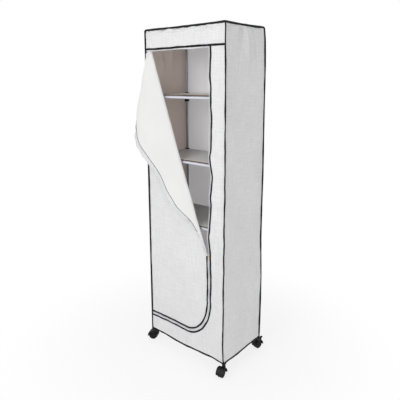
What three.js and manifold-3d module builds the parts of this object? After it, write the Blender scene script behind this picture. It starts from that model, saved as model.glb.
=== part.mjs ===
// Portable fabric wardrobe on casters. Steel tubes in plastic corner connectors make a rack of
// five shelves, and a sewn cloth cover hangs over it. The door in the cover is unzipped along its
// top and part of its right edge, and that corner is folded back over the rest, to the left.
// Millimetres, +Z up, +X to the right along the front, and the front faces -Y.
// The origin lies on the floor, under the middle of the whole outline.
import * as THREE from "three";
import { mergeVertices } from "three/addons/utils/BufferGeometryUtils.js";
import Module from "manifold-3d";

const wasm = await Module();
wasm.setup();

// Cover
const coverWidth = 488;
const coverDepth = 291;
const coverHeight = 1555;
const hemHeight = 66; // from the floor up to the cover's lower edge
const clothThickness = 1.6;
const bindingRadius = 3; // the black binding sewn along each edge
const bindingProud = 1.5; // how far a corner binding stands out past the cloth
const headerHeight = 91.5; // the band above the door
const sideSag = 1.8; // how far a side panel falls in between its corners
const sideCrease = 1.4; // depth of its upright folds, at the top

// Door and zip
const rightStripWidth = 82; // fixed cloth to the right of the door
const bottomStripHeight = 82; // fixed cloth under the door
const zipCornerWidth = 157; // the zip's lower right corner is a quarter of an ellipse
const zipCornerHeight = 200;
const zipSpacing = 20; // between the two bindings that flank the zip
const topZipSpacing = 12; // the same under the header, where the zip is undone
const tapeThickness = 1;
const chainGap = 3; // left between the two zip tapes
const topTapeDrop = 5.5; // the header's zip tape below its binding's middle

// Folded corner of the door
const foldTopInset = 44; // the fold's upper end, from the cover's left edge
const foldBottomHeight = 512; // the fold's lower end, above the hem
const foldRadius = 4; // the soft roll along the fold
const foldEndMargin = 20; // the roll stops this far from the slider
const foldLiftAngle = 8; // degrees that the corner stands off the door
const curlOutset = 2; // point of the curl's cone, left of the cover
const curlDrop = 22; // and below the door's top edge
const curlConeAngle = 17; // degrees from the cone's axis to its side

// Rack
const tubeRadius = 6;
const tubeWall = 0.8;
const lowestRails = 89; // from the floor up to their axis
const shelfCount = 5;
const boardThickness = 5;
const boardSetback = 1; // the board's edge inside the rails' outer side

// Corner connectors
const sleeveRadius = 12;
const sleeveMouthRadius = 13;
const sleeveBelow = 24; // below the rails' axis
const sleeveAbove = 16; // above it
const sleeveTaper = 10; // height of the flare at the lower mouth
const socketRadius = 9;
const socketReach = 34; // from the post's axis
const seatWall = 1.2; // flat top of a socket, over its bore
const capWall = 3; // closed top of the highest connectors
const capChamfer = 2.5;
const notchClearance = 1; // shelf board round a sleeve

// Casters
const wheelRadius = 22.5;
const wheelWidth = 16;
const wheelBevel = 1.5;
const hubRadius = 8;
const rimWidth = 6.5; // the flat rim of a wheel's outer face
const dishDepth = 1.8;
const axleRadius = 3;
const axleDepth = 12.2; // of the axle inside a wheel
const webThickness = 6; // the plate between the two wheels
const wheelSideGap = 1;
const trail = 24.5; // from the stem's axis back to the axle
const hoodClearance = 1.2;
const hoodWall = 2.3;
const hoodCutHeight = 12; // the hood's lower edge above the floor
const bossRadius = 9;
const bossDrop = 24; // length of the stem's boss
const stemRadius = 4;
const stemLength = 25; // of the stem inside the foot
const footRadius = 12;
const footHeight = 8;
const footDrop = 10; // from the hem down to the foot's lower end
const footChamfer = 1.5;
const plugHeight = 34; // of the foot's plug, from its lower end
const leverRadius = 2.6;
const leverWidth = 14;
const leverReach = 17;
const leverThickness = 2.8;
const leverPlace = 50; // degrees above the axle's height, at the back of the hood
const leverTilt = 12; // degrees that the free lever points up
const saddleWall = 1.9;

// Slider and pull
const plateWidth = 9;
const plateHeight = 14;
const plateThickness = 1.5;
const plateCornerRadius = 3;
const neckWidth = 2;
const neckHeight = 6;
const archWidth = 2.4;
const archLength = 9;
const archRise = 4.5;
const archBar = 1.2;
const pullWidth = 6;
const pullLength = 24;
const pullThickness = 1.6;
const pullEyeWidth = 3.4;
const pullEyeLength = 5;
const pullPlay = 0.4; // between the arch and the pull, which hangs clear of the bindings

// Clearances and fineness
const gap = 0.3; // between pieces that touch
const overrun = 2; // a cutting body past what it cuts
const tubeSides = 10;
const wheelSides = 16;
const bindingSides = 6;
const cornerSteps = 3; // in a quarter of a small round corner
const zipCornerSteps = 8;
const curlSteps = 16; // in the folded corner's curl
const flapRows = 2;

// Where the casters stand, and the way that each one trails, in degrees from +X
const corners = [
  { name: "front_left", x: -1, y: -1, swivel: 205, brake: false },
  { name: "front_right", x: 1, y: -1, swivel: 282, brake: false },
  { name: "rear_left", x: -1, y: 1, swivel: 118, brake: true },
  { name: "rear_right", x: 1, y: 1, swivel: 80, brake: true },
];

// Places of the cover and its door
const coverTop = hemHeight + coverHeight;
const bindingInset = bindingRadius - bindingProud;
const panelInset = bindingInset + bindingRadius + gap;
const panelHalfWidth = coverWidth / 2 - panelInset;
const panelTop = coverTop - panelInset;
const hemLine = hemHeight + bindingRadius;
const headerSeam = coverTop - headerHeight;
const zipEdge = coverWidth / 2 - rightStripWidth;
const zipBottom = hemHeight + bottomStripHeight;
const doorTop = headerSeam - topZipSpacing;
const doorEdge = zipEdge - zipSpacing;
const tapeReach = (zipSpacing - chainGap) / 2;
const chainX = zipEdge - zipSpacing / 2;
const frontFace = -coverDepth / 2;
const clothMiddle = frontFace + clothThickness / 2;
const tapeFront = clothMiddle - tapeThickness / 2;

// Places of the rack and the casters
const postInset = clothThickness / 2 + bindingRadius + gap + sleeveMouthRadius; // clear of the hem
const postX = coverWidth / 2 - postInset;
const postY = coverDepth / 2 - postInset;
const boreRadius = tubeRadius + gap;
const hollowRadius = tubeRadius - tubeWall;
const topLevel = coverTop - clothThickness - gap - sleeveRadius;
const levelSpacing = (topLevel - lowestRails) / shelfCount; // from one ring of rails to the next
const seatHeight = boreRadius + seatWall;
const railEnd = postX - sleeveMouthRadius;
const footBottom = hemHeight - footDrop;
const hoodRadius = wheelRadius + hoodClearance + hoodWall;
const wheelStart = webThickness / 2 + wheelSideGap;
const hoodHalfWidth = wheelStart + wheelWidth;

// Places of the slider and its pull, in front of the tapes' middle
const plateFront = tapeThickness / 2 + gap;
const archTop = plateFront + plateThickness + archRise;
const archInner = archLength / 2 - 2 * archBar;
const pullBar = archTop - archBar - pullPlay - pullThickness / 2;

const whiteCloth = new THREE.MeshStandardMaterial({ color: 0xeeeeef, roughness: 0.9 });
const whiteSteel = new THREE.MeshStandardMaterial({ color: 0xe3e6ee, roughness: 0.35 });
const blackPlastic = new THREE.MeshStandardMaterial({ color: 0x1d1c1e, roughness: 0.5 });
const blackRubber = new THREE.MeshStandardMaterial({ color: 0x252325, roughness: 0.6 });
const whiteBoard = new THREE.MeshStandardMaterial({ color: 0xefece6, roughness: 0.6 });
const brass = new THREE.MeshStandardMaterial({ color: 0xb08d4e, roughness: 0.35, metalness: 0.9 });

const toRadians = THREE.MathUtils.degToRad;
const at = (x, y, z) => new THREE.Vector3(x, y, z);
const flat = (x, z) => new THREE.Vector2(x, z);

// A closed geometry as a manifold solid, and back.
function solid(geometry) {
  const bare = geometry.clone();
  bare.deleteAttribute("normal");
  bare.deleteAttribute("uv");
  const merged = mergeVertices(bare, 1e-4);
  const { array } = merged.index;
  const triVerts = new Uint32Array(array).filter((_, i) => {
    const [a, b, c] = array.slice(i - (i % 3), i - (i % 3) + 3);
    return a !== b && b !== c && c !== a;
  });
  const vertProperties = merged.attributes.position.array;
  return new wasm.Manifold(new wasm.Mesh({ numProp: 3, vertProperties, triVerts }));
}

function geometryOf(manifold) {
  const { vertProperties, triVerts } = manifold.getMesh();
  const geometry = new THREE.BufferGeometry();
  geometry.setAttribute("position", new THREE.BufferAttribute(vertProperties, 3));
  geometry.setIndex(new THREE.BufferAttribute(triVerts, 1));
  geometry.computeVertexNormals();
  return geometry;
}

const join = (...geometries) => geometries.map(solid).reduce((a, b) => a.add(b));
const cut = (body, ...geometries) => geometries.map(solid).reduce((a, b) => a.subtract(b), body);

// A round bar from one point to another.
function rod(from, to, radius, sides = tubeSides) {
  const length = from.distanceTo(to);
  const way = to.clone().sub(from).normalize();
  const turn = new THREE.Quaternion().setFromUnitVectors(at(0, 1, 0), way);
  const bar = new THREE.CylinderGeometry(radius, radius, length, sides).translate(0, length / 2, 0);
  return bar.applyQuaternion(turn).translate(from.x, from.y, from.z);
}

// A profile of [radius, height] points turned round the Z axis.
function turned(profile, sides) {
  const points = profile.map(([radius, height]) => flat(radius, height));
  return new THREE.LatheGeometry(points, sides).rotateX(Math.PI / 2);
}

function box(low, high) {
  const size = high.clone().sub(low);
  const middle = low.clone().add(high).divideScalar(2);
  return new THREE.BoxGeometry(...size.toArray()).translate(...middle.toArray());
}

// An outline given a thickness upwards from its own plane.
function slab(outline, depth, curveSegments = cornerSteps) {
  return new THREE.ExtrudeGeometry(outline, { depth, bevelEnabled: false, curveSegments });
}

// An outline in X and Z, given a thickness backwards from its front face.
function upright(points, front, thickness) {
  const cloth = slab(new THREE.Shape(points), thickness);
  return cloth.rotateX(Math.PI / 2).translate(0, front + thickness, 0);
}

function rectangle(halfWidth, low, high) {
  return [flat(-halfWidth, low), flat(halfWidth, low), flat(halfWidth, high), flat(-halfWidth, high)];
}

// A bead of round section through stations, each a point with two vectors across the bead.
function beadThrough(stations, radius) {
  const positions = [];
  const index = [];
  const sides = bindingSides;
  stations.forEach(({ point, across, up }) => {
    for (let k = 0; k < sides; k++) {
      const angle = (2 * Math.PI * (k + 1 / 2)) / sides;
      const place = point.clone().addScaledVector(across, radius * Math.cos(angle));
      positions.push(...place.addScaledVector(up, radius * Math.sin(angle)).toArray());
    }
  });
  const last = (stations.length - 1) * sides;
  for (let i = 0; i < last; i += sides)
    for (let k = 0; k < sides; k++) {
      const next = (k + 1) % sides;
      index.push(i + k, i + next, i + sides + k, i + next, i + sides + next, i + sides + k);
    }
  for (let k = 1; k < sides - 1; k++) index.push(0, k + 1, k, last, last + k, last + k + 1);
  const bead = new THREE.BufferGeometry();
  bead.setAttribute("position", new THREE.Float32BufferAttribute(positions, 3));
  return bead.setIndex(index);
}

// A binding along a line in the plane of the front, mitred where the line turns.
function frontBead(line) {
  const step = (i) => line[i + 1].clone().sub(line[i]).normalize();
  const stations = line.map((p, i) => {
    const into = step(Math.max(i - 1, 0));
    const along = into.clone().add(step(Math.min(i, line.length - 2))).normalize();
    const across = at(-along.y, 0, along.x).divideScalar(along.dot(into));
    return { point: at(p.x, clothMiddle, p.y), across, up: at(0, -1, 0) };
  });
  return beadThrough(stations, bindingRadius);
}

// A thick sheet from a grid of places, each a point on its middle and its outward normal.
function sheet(rows, columns, place, thickness) {
  const positions = [];
  const index = [];
  const width = columns + 1;
  const under = (rows + 1) * width;
  for (const side of [1, -1])
    for (let i = 0; i <= rows; i++)
      for (let j = 0; j <= columns; j++) {
        const { point, normal } = place(i / rows, j / columns);
        const face = point.clone().addScaledVector(normal, (side * thickness) / 2);
        positions.push(...face.toArray());
      }
  const quad = (a, b, c, d) => index.push(a, b, c, a, c, d);
  for (let i = 0; i < rows; i++)
    for (let j = 0; j < columns; j++) {
      const a = i * width + j;
      quad(a, a + width, a + width + 1, a + 1);
      quad(under + a, under + a + 1, under + a + width + 1, under + a + width);
    }
  for (let j = 0; j < columns; j++) {
    const end = rows * width + j;
    quad(j, j + 1, under + j + 1, under + j);
    quad(end + 1, end, under + end, under + end + 1);
  }
  for (let i = 0; i < rows; i++) {
    const left = i * width;
    const right = left + columns;
    quad(left + width, left, under + left, under + left + width);
    quad(right, right + width, under + right + width, under + right);
  }
  const cloth = new THREE.BufferGeometry();
  cloth.setAttribute("position", new THREE.Float32BufferAttribute(positions, 3));
  return cloth.setIndex(index);
}

// A post is one tube, with the plastic foot that takes a caster's stem plugged in its lower end.
function post() {
  const top = topLevel + sleeveRadius - capWall - gap;
  const boreTop = footBottom + stemLength + gap;
  const profile = [
    [0, boreTop],
    [stemRadius + gap, boreTop],
    [stemRadius + gap, footBottom],
    [footRadius - footChamfer, footBottom],
    [footRadius, footBottom + footChamfer],
    [footRadius, footBottom + footHeight],
    [tubeRadius, footBottom + footHeight],
    [tubeRadius, top],
    [hollowRadius, top],
    [hollowRadius, footBottom + plugHeight],
    [0, footBottom + plugHeight],
  ];
  return turned(profile, tubeSides);
}

// A connector's sleeve, which slides on the post.
function sleeve(level, isTop) {
  const top = level + (isTop ? sleeveRadius : sleeveAbove);
  const rim = isTop
    ? [[sleeveRadius, top - capChamfer], [sleeveRadius - capChamfer, top]]
    : [[sleeveRadius, top]];
  const profile = [
    [0, level - sleeveBelow],
    [sleeveMouthRadius, level - sleeveBelow],
    [sleeveRadius, level - sleeveBelow + sleeveTaper],
    ...rim,
    [0, top],
  ];
  return turned(profile, tubeSides);
}

// A side rail with the connector that each end is fixed in. Besides its sleeve, a connector has a
// socket for the front or back rail. The sockets are flat on top, where the board rests.
function sideRail(side, level, isTop) {
  const x = side * postX;
  const socketEnd = side * (postX - socketReach);
  const arms = [rod(at(x, -postY, level), at(x, postY, level), tubeRadius)];
  const sleeves = [];
  const bores = [rod(at(x, -postY, level), at(x, postY, level), hollowRadius)];
  const boreTop = isTop ? level + sleeveRadius - capWall : level + sleeveAbove + overrun;
  for (const end of [-1, 1]) {
    const y = end * postY;
    const onPost = at(x, y, level);
    arms.push(rod(onPost, at(x, end * (postY - socketReach), level), socketRadius));
    arms.push(rod(onPost, at(socketEnd, y, level), socketRadius));
    sleeves.push(sleeve(level, isTop).translate(x, y, 0));
    bores.push(rod(at(x, y, level - sleeveBelow - overrun), at(x, y, boreTop), boreRadius));
    bores.push(rod(at(side * railEnd, y, level), at(socketEnd - side * overrun, y, level), boreRadius));
  }
  const beyond = postX + socketRadius + overrun;
  const overSeat = box(
    at(-beyond, -beyond, level + seatHeight),
    at(beyond, beyond, level + socketRadius + overrun),
  );
  return cut(cut(join(...arms), overSeat).add(join(...sleeves)), ...bores);
}

// A front or back rail is an open tube that stops just short of the bottom of its two sockets.
function crossRail(y, level) {
  const end = railEnd - gap;
  const past = end + overrun;
  const tube = solid(rod(at(-end, y, level), at(end, y, level), tubeRadius));
  return cut(tube, rod(at(-past, y, level), at(past, y, level), hollowRadius));
}

// A shelf board, with a round notch at each corner for the connector's sleeve.
function shelfBoard(level) {
  const notch = sleeveRadius + notchClearance;
  const open = Math.acos((tubeRadius - boardSetback) / notch);
  const outline = new THREE.Shape();
  const ways = [[1, 1], [-1, 1], [-1, -1], [1, -1]];
  ways.forEach(([x, y], quarter) => {
    const turn = (quarter * Math.PI) / 2;
    outline.absarc(x * postX, y * postY, notch, turn - open, turn + Math.PI / 2 + open, true);
  });
  return slab(outline, boardThickness, 2 * cornerSteps).translate(0, 0, level + seatHeight + gap);
}

// A caster's hood, with the stem on the Z axis and the axle behind it along +X: one block round
// both wheels, hollowed by two pockets that leave the web between them.
function casterHood(brake) {
  const beside = (y) => at(trail, y, wheelRadius);
  const hoodTop = footBottom - gap;
  const block = join(
    rod(beside(-hoodHalfWidth), beside(hoodHalfWidth), hoodRadius, wheelSides),
    rod(at(0, 0, hoodTop - bossDrop), at(0, 0, hoodTop), bossRadius),
  );
  const pocketRadius = wheelRadius + hoodClearance;
  const pocketEnd = hoodHalfWidth + overrun;
  const below = box(
    at(-hoodRadius, -pocketEnd, -hoodRadius),
    at(trail + hoodRadius + overrun, pocketEnd, hoodCutHeight),
  );
  const hood = cut(
    block,
    rod(beside(webThickness / 2), beside(pocketEnd), pocketRadius, wheelSides),
    rod(beside(-webThickness / 2), beside(-pocketEnd), pocketRadius, wheelSides),
    below,
  );
  const axleEnd = wheelStart + axleDepth;
  const pins = join(
    rod(beside(-axleEnd), beside(axleEnd), axleRadius),
    rod(at(0, 0, hoodTop - bossDrop / 2), at(0, 0, footBottom + stemLength), stemRadius),
  );
  return brake ? withSaddle(hood).add(pins) : hood.add(pins);
}

// The brake lever's knuckle turns in a half-round saddle at the back of the hood.
const leverAngle = toRadians(leverPlace);
const leverOut = at(Math.cos(leverAngle), 0, Math.sin(leverAngle));
const leverPivot = at(trail, 0, wheelRadius).addScaledVector(leverOut, hoodRadius + leverRadius);
const besidePivot = (y) => leverPivot.clone().setY(y);

function withSaddle(hood) {
  const outer = leverRadius + gap + saddleWall;
  const past = leverWidth / 2 + overrun;
  const open = 2 * outer;
  const lid = new THREE.BoxGeometry(open, 2 * past, open);
  lid.translate(open / 2, 0, 0).rotateY(-leverAngle).translate(...leverPivot.toArray());
  const saddle = solid(rod(besidePivot(-leverWidth / 2), besidePivot(leverWidth / 2), outer));
  return cut(hood.add(cut(saddle, lid)), rod(besidePivot(-past), besidePivot(past), leverRadius + gap));
}

// The lever is its knuckle and a flat pedal that points away from the stem.
function brakeLever() {
  const half = leverWidth / 2;
  const corner = leverRadius;
  const pedal = new THREE.Shape();
  pedal.moveTo(0, -half);
  pedal.lineTo(leverReach - corner, -half);
  pedal.absarc(leverReach - corner, corner - half, corner, -Math.PI / 2, 0, false);
  pedal.absarc(leverReach - corner, half - corner, corner, 0, Math.PI / 2, false);
  pedal.lineTo(0, half);
  const plate = slab(pedal, leverThickness).translate(0, 0, leverRadius - leverThickness);
  plate.rotateY(-toRadians(leverTilt)).translate(...leverPivot.toArray());
  return join(rod(besidePivot(-half), besidePivot(half), leverRadius), plate);
}

// A wheel on the Y axis, dished on its outer face and bored from its inner one.
function casterWheel(side) {
  const rim = wheelRadius - wheelBevel;
  const bore = axleRadius + gap;
  const profile = [
    [0, axleDepth + gap],
    [bore, axleDepth + gap],
    [bore, 0],
    [rim, 0],
    [wheelRadius, wheelBevel],
    [wheelRadius, wheelWidth - wheelBevel],
    [rim, wheelWidth],
    [rim - rimWidth, wheelWidth - dishDepth],
    [hubRadius + dishDepth, wheelWidth - dishDepth],
    [hubRadius, wheelWidth],
    [0, wheelWidth],
  ];
  const wheel = turned(profile, wheelSides).rotateZ(Math.PI / wheelSides);
  return wheel.rotateX((-side * Math.PI) / 2).translate(0, side * wheelStart, 0);
}

// The zip's line, moved in from the edge of the fixed cloth: down the right side, round the
// elliptical corner, and along the bottom to the left edge.
function zipLine(inset, top) {
  const middleX = zipEdge - zipCornerWidth;
  const middleZ = zipBottom + zipCornerHeight;
  const line = [flat(zipEdge - inset, top)];
  for (let k = 0; k <= zipCornerSteps; k++) {
    const angle = (k / zipCornerSteps) * (Math.PI / 2);
    const x = middleX + (zipCornerWidth - inset) * Math.cos(angle);
    line.push(flat(x, middleZ - (zipCornerHeight - inset) * Math.sin(angle)));
  }
  return [...line, flat(-panelHalfWidth, zipBottom + inset)];
}

// One half of the zip's tape: a thin band along the zip's line.
function zipTape(from, to, top) {
  return upright([...zipLine(from, top), ...zipLine(to, top).reverse()], tapeFront, tapeThickness);
}

const hemBead = () => frontBead([flat(-panelHalfWidth, hemLine), flat(panelHalfWidth, hemLine)]);

// The fixed cloth beside and under the door, bound along the zip and the hem.
function surround() {
  const top = headerSeam - bindingRadius - gap;
  const outer = [flat(-panelHalfWidth, hemLine), flat(panelHalfWidth, hemLine), flat(panelHalfWidth, top)];
  return join(
    upright([...zipLine(0, top), ...outer], frontFace, clothThickness),
    zipTape(0, tapeReach, headerSeam - topTapeDrop - gap),
    frontBead(zipLine(0, top)),
    hemBead(),
  );
}

// The band over the door, bound along its lower edge, with its half of the undone zip below.
function header() {
  const left = -panelHalfWidth;
  const right = zipEdge - bindingRadius - gap;
  const low = headerSeam - topTapeDrop;
  const tape = [flat(left, low), flat(right, low), flat(right, headerSeam), flat(left, headerSeam)];
  return join(
    upright(rectangle(panelHalfWidth, headerSeam, panelTop), frontFace, clothThickness),
    upright(tape, tapeFront, tapeThickness),
    frontBead([flat(left, headerSeam), flat(panelHalfWidth, headerSeam)]),
  );
}

// The fold: its ends on the door, the way down along it, and the way across it, to the lower left.
const foldTop = flat(foldTopInset - coverWidth / 2, doorTop);
const foldBottom = flat(doorEdge, hemHeight + foldBottomHeight);
const foldWay = foldBottom.clone().sub(foldTop).normalize();
const foldAcross = flat(foldWay.y, -foldWay.x);
const foldStandoff = foldRadius + gap;
const foldEndShare = foldEndMargin / foldBottom.distanceTo(foldTop);

// The part of the door that stays zipped, under the fold.
function doorLower() {
  const clear = foldStandoff + bindingRadius;
  const beadTop = foldBottom.y - clear;
  const topEnd = flat(foldTop.x - clear, doorTop);
  const outline = [foldTop, ...zipLine(zipSpacing, foldBottom.y), flat(-panelHalfWidth, doorTop)];
  return join(
    upright(outline, frontFace, clothThickness),
    zipTape(zipSpacing - tapeReach, zipSpacing, beadTop),
    frontBead(zipLine(zipSpacing, beadTop)),
    frontBead([flat(-panelHalfWidth, doorTop), topEnd]),
  );
}

// The folded corner lies over the door, mirrored in the fold. Its cloth is flat near the fold and
// lifts a little off the door. Left of an upright line it curls back round a cone, whose point is
// above the door's upper left corner, so that it goes round the cover's edge.
const lift = toRadians(foldLiftAngle);
const alongFold = at(foldWay.x, 0, foldWay.y);
const overDoor = at(foldAcross.x, 0, foldAcross.y).multiplyScalar(Math.cos(lift));
overDoor.addScaledVector(at(0, -1, 0), Math.sin(lift));
const flapNormal = overDoor.clone().cross(alongFold).normalize();
const flapRight = alongFold.clone().multiplyScalar(foldWay.x).addScaledVector(overDoor, foldAcross.x);
const flapUp = alongFold.clone().multiplyScalar(foldWay.y).addScaledVector(overDoor, foldAcross.y);
const flapFace = frontFace - foldStandoff - foldRadius + clothThickness / 2;

function onFlat(p) {
  const { x, y } = p.clone().sub(foldTop);
  return at(foldTop.x, flapFace, foldTop.y).addScaledVector(flapRight, x).addScaledVector(flapUp, y);
}

const coneHalf = toRadians(curlConeAngle);
const curlPoint = flat(-coverWidth / 2 - curlOutset, doorTop - curlDrop);
const coneAxis = flapUp.clone().multiplyScalar(-Math.cos(coneHalf));
coneAxis.addScaledVector(flapNormal, -Math.sin(coneHalf));
const coneSide = flapUp.clone().negate().addScaledVector(coneAxis, -Math.cos(coneHalf));
coneSide.divideScalar(Math.sin(coneHalf));

// A place on the folded corner, from where it would lie if it were flat.
function onFlap(p) {
  const { x, y } = p.clone().sub(curlPoint);
  const angle = Math.atan2(-x, -y);
  if (angle <= 0) return { point: onFlat(p), normal: flapNormal };
  const round = angle / Math.sin(coneHalf);
  const out = coneSide.clone().multiplyScalar(Math.cos(round));
  out.addScaledVector(flapRight, -Math.sin(round));
  const way = coneAxis.clone().multiplyScalar(Math.cos(coneHalf));
  way.addScaledVector(out, Math.sin(coneHalf));
  const normal = out.multiplyScalar(Math.cos(coneHalf)).addScaledVector(coneAxis, -Math.sin(coneHalf));
  return { point: onFlat(curlPoint).addScaledVector(way, Math.hypot(x, y)), normal };
}

// The folded corner's outline before it curls: the fold, and the corner that was the door's upper
// right one.
const doorCorner = flat(doorEdge, doorTop).sub(foldTop);
const flapTip = foldTop.clone().addScaledVector(foldWay, doorCorner.dot(foldWay));
flapTip.addScaledVector(foldAcross, -doorCorner.dot(foldAcross));
const flapEnd = foldBottom.clone().lerp(foldTop, foldEndShare);
const zipSideEnd = foldBottom.clone().lerp(flapTip, foldEndShare);

// Where a line from the curl's point, at an angle from straight down, meets an edge of the cloth.
function onEdge(angle, from, to) {
  const way = to.clone().sub(from);
  const toPoint = curlPoint.clone().sub(from);
  const line = flat(-Math.sin(angle), -Math.cos(angle));
  return from.clone().addScaledVector(way, toPoint.cross(line) / way.cross(line));
}

// The cloth's straight lines, from the fold to the tip: each runs from the free top edge down to
// the free zip edge. The first is the fold, and the rest are lines of the cone.
const flapLines = [[foldTop, flapEnd]];
const tipAngle = Math.atan2(curlPoint.x - flapTip.x, curlPoint.y - flapTip.y);
for (let k = 0; k < curlSteps; k++) {
  const angle = (k / curlSteps) * tipAngle;
  flapLines.push([onEdge(angle, foldTop, flapTip), onEdge(angle, flapTip, foldBottom)]);
}

// The binding along its free edges, from beside the fold's upper end round the tip and down.
function flapBead() {
  const topEdge = flapLines.map(([upper]) => upper);
  topEdge[0] = foldTop.clone().addScaledVector(flapTip.clone().sub(foldTop).normalize(), bindingRadius);
  const zipEdgeLine = flapLines.slice(1).map(([, lower]) => lower);
  const places = [...topEdge, flapTip, ...zipEdgeLine.reverse(), zipSideEnd].map(onFlap);
  const stations = places.map(({ point, normal }, i) => {
    const before = places[Math.max(i - 1, 0)].point;
    const after = places[Math.min(i + 1, places.length - 1)].point;
    return { point, across: normal.clone().cross(after.clone().sub(before)).normalize(), up: normal };
  });
  return beadThrough(stations, bindingRadius);
}

function doorFlap() {
  const onRoll = (p) => at(p.x, frontFace - foldStandoff, p.y);
  const onCloth = (down, across) => {
    const [upper, lower] = flapLines[Math.round((1 - across) * curlSteps)];
    return onFlap(upper.clone().lerp(lower, down));
  };
  return join(
    sheet(flapRows, curlSteps, onCloth, clothThickness),
    flapBead(),
    rod(onRoll(foldTop), onRoll(flapEnd), foldRadius),
  );
}

// A side panel sags in between its corners, with upright folds that fade towards the hem. The
// corner bindings and its stretch of the hem are sewn to it.
const sideRows = 8;
const sideColumns = 12;
const creaseCount = 5;

function sidePanel(side) {
  const halfDepth = coverDepth / 2 - bindingInset;
  const onPanel = (up, across) => {
    const place = 2 * across - 1;
    const crease = sideCrease * up * up * Math.cos(creaseCount * Math.PI * place);
    const inwards = clothThickness / 2 + (sideSag + crease) * (1 - place * place) ** 2;
    const height = hemLine + up * (panelTop - hemLine);
    const point = at(side * (coverWidth / 2 - inwards), side * place * halfDepth, height);
    return { point, normal: at(-side, 0, 0) };
  };
  const x = side * (coverWidth / 2 - bindingInset);
  const hemX = side * (coverWidth / 2 - clothThickness / 2);
  return join(
    sheet(sideRows, sideColumns, onPanel, clothThickness),
    rod(at(x, -halfDepth, hemHeight), at(x, -halfDepth, panelTop), bindingRadius, bindingSides),
    rod(at(x, halfDepth, hemHeight), at(x, halfDepth, panelTop), bindingRadius, bindingSides),
    rod(at(hemX, -halfDepth, hemLine), at(hemX, halfDepth, hemLine), bindingRadius, bindingSides),
  );
}

function backPanel() {
  const toBack = coverDepth - clothThickness;
  return join(
    upright(rectangle(panelHalfWidth, hemLine, panelTop), frontFace + toBack, clothThickness),
    hemBead().translate(0, toBack, 0),
  );
}

// The roof, with its binding all round.
function roof() {
  const x = coverWidth / 2 - bindingInset;
  const y = coverDepth / 2 - bindingInset;
  const z = coverTop - bindingInset;
  const round = [at(-x, -y, z), at(x, -y, z), at(x, y, z), at(-x, y, z)];
  const bind = (from, i) => rod(from, round[(i + 1) % round.length], bindingRadius, bindingSides);
  return join(box(at(-x, -y, coverTop - clothThickness), at(x, y, coverTop)), ...round.map(bind));
}

// The zip's slider: two plates joined by a neck between the tapes, and an arch for the pull.
function zipSlider() {
  const x = plateWidth / 2 - plateCornerRadius;
  const z = plateHeight / 2 - plateCornerRadius;
  const outline = new THREE.Shape();
  outline.absarc(x, z, plateCornerRadius, 0, Math.PI / 2, false);
  outline.absarc(-x, z, plateCornerRadius, Math.PI / 2, Math.PI, false);
  outline.absarc(-x, -z, plateCornerRadius, Math.PI, (3 * Math.PI) / 2, false);
  outline.absarc(x, -z, plateCornerRadius, -Math.PI / 2, 0, false);
  const plate = slab(outline, plateThickness).rotateX(Math.PI / 2);
  const neckReach = plateFront + plateThickness / 2;
  const neckTop = plateHeight / 2 - gap;
  const arch = new THREE.Shape([
    flat(-archLength / 2, plateFront),
    flat(-archLength / 2 + archBar, archTop),
    flat(archLength / 2 - archBar, archTop),
    flat(archLength / 2, plateFront),
    flat(archInner, plateFront),
    flat(archInner, archTop - archBar),
    flat(-archInner, archTop - archBar),
    flat(-archInner, plateFront),
  ]);
  const bow = slab(arch, archWidth).translate(0, 0, -archWidth / 2);
  return join(
    plate.clone().translate(0, -plateFront, 0),
    plate.clone().translate(0, plateFront + plateThickness, 0),
    box(at(-neckWidth / 2, -neckReach, neckTop - neckHeight), at(neckWidth / 2, neckReach, neckTop)),
    bow.rotateX(Math.PI).rotateY(-Math.PI / 2),
  );
}

// The pull hangs by the bar at the top of its eye, which passes under the slider's arch.
function zipPull() {
  const half = pullWidth / 2;
  const top = pullThickness / 2;
  const eyeLow = -top - pullEyeLength;
  const outline = new THREE.Shape();
  outline.moveTo(-half, top);
  outline.lineTo(-half, top - pullLength + half);
  outline.absarc(0, top - pullLength + half, half, Math.PI, 2 * Math.PI, false);
  outline.lineTo(half, top);
  outline.holes.push(new THREE.Path(rectangle(pullEyeWidth / 2, eyeLow, -top)));
  return slab(outline, pullThickness, 2 * cornerSteps).rotateX(Math.PI / 2).translate(0, top, 0);
}

const wardrobe = new THREE.Group();

function add(name, shape, material, parent = wardrobe) {
  const geometry = geometryOf(shape.isBufferGeometry ? solid(shape) : shape);
  const mesh = new THREE.Mesh(geometry, material);
  mesh.name = name;
  parent.add(mesh);
  return mesh;
}

// The rack
corners.forEach(({ name, x, y }) => {
  add("post_" + name, post(), whiteSteel).position.set(x * postX, y * postY, 0);
});
for (let number = 1; number <= shelfCount + 1; number++) {
  const isTop = number > shelfCount;
  const level = topLevel - (shelfCount + 1 - number) * levelSpacing;
  add("side_rail_left_" + number, sideRail(-1, level, isTop), blackPlastic);
  add("side_rail_right_" + number, sideRail(1, level, isTop), blackPlastic);
  add("front_rail_" + number, crossRail(-postY, level), whiteSteel);
  add("back_rail_" + number, crossRail(postY, level), whiteSteel);
  if (!isTop) add("shelf_board_" + number, shelfBoard(level), whiteBoard);
}

// The casters
corners.forEach(({ name, x, y, swivel, brake }) => {
  const caster = new THREE.Group();
  caster.position.set(x * postX, y * postY, 0);
  caster.rotation.z = toRadians(swivel);
  wardrobe.add(caster);
  add("caster_hood_" + name, casterHood(brake), blackPlastic, caster);
  add("wheel_" + name + "_1", casterWheel(1), blackRubber, caster).position.set(trail, 0, wheelRadius);
  add("wheel_" + name + "_2", casterWheel(-1), blackRubber, caster).position.set(trail, 0, wheelRadius);
  if (brake) add("brake_lever_" + name, brakeLever(), blackPlastic, caster);
});

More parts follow.
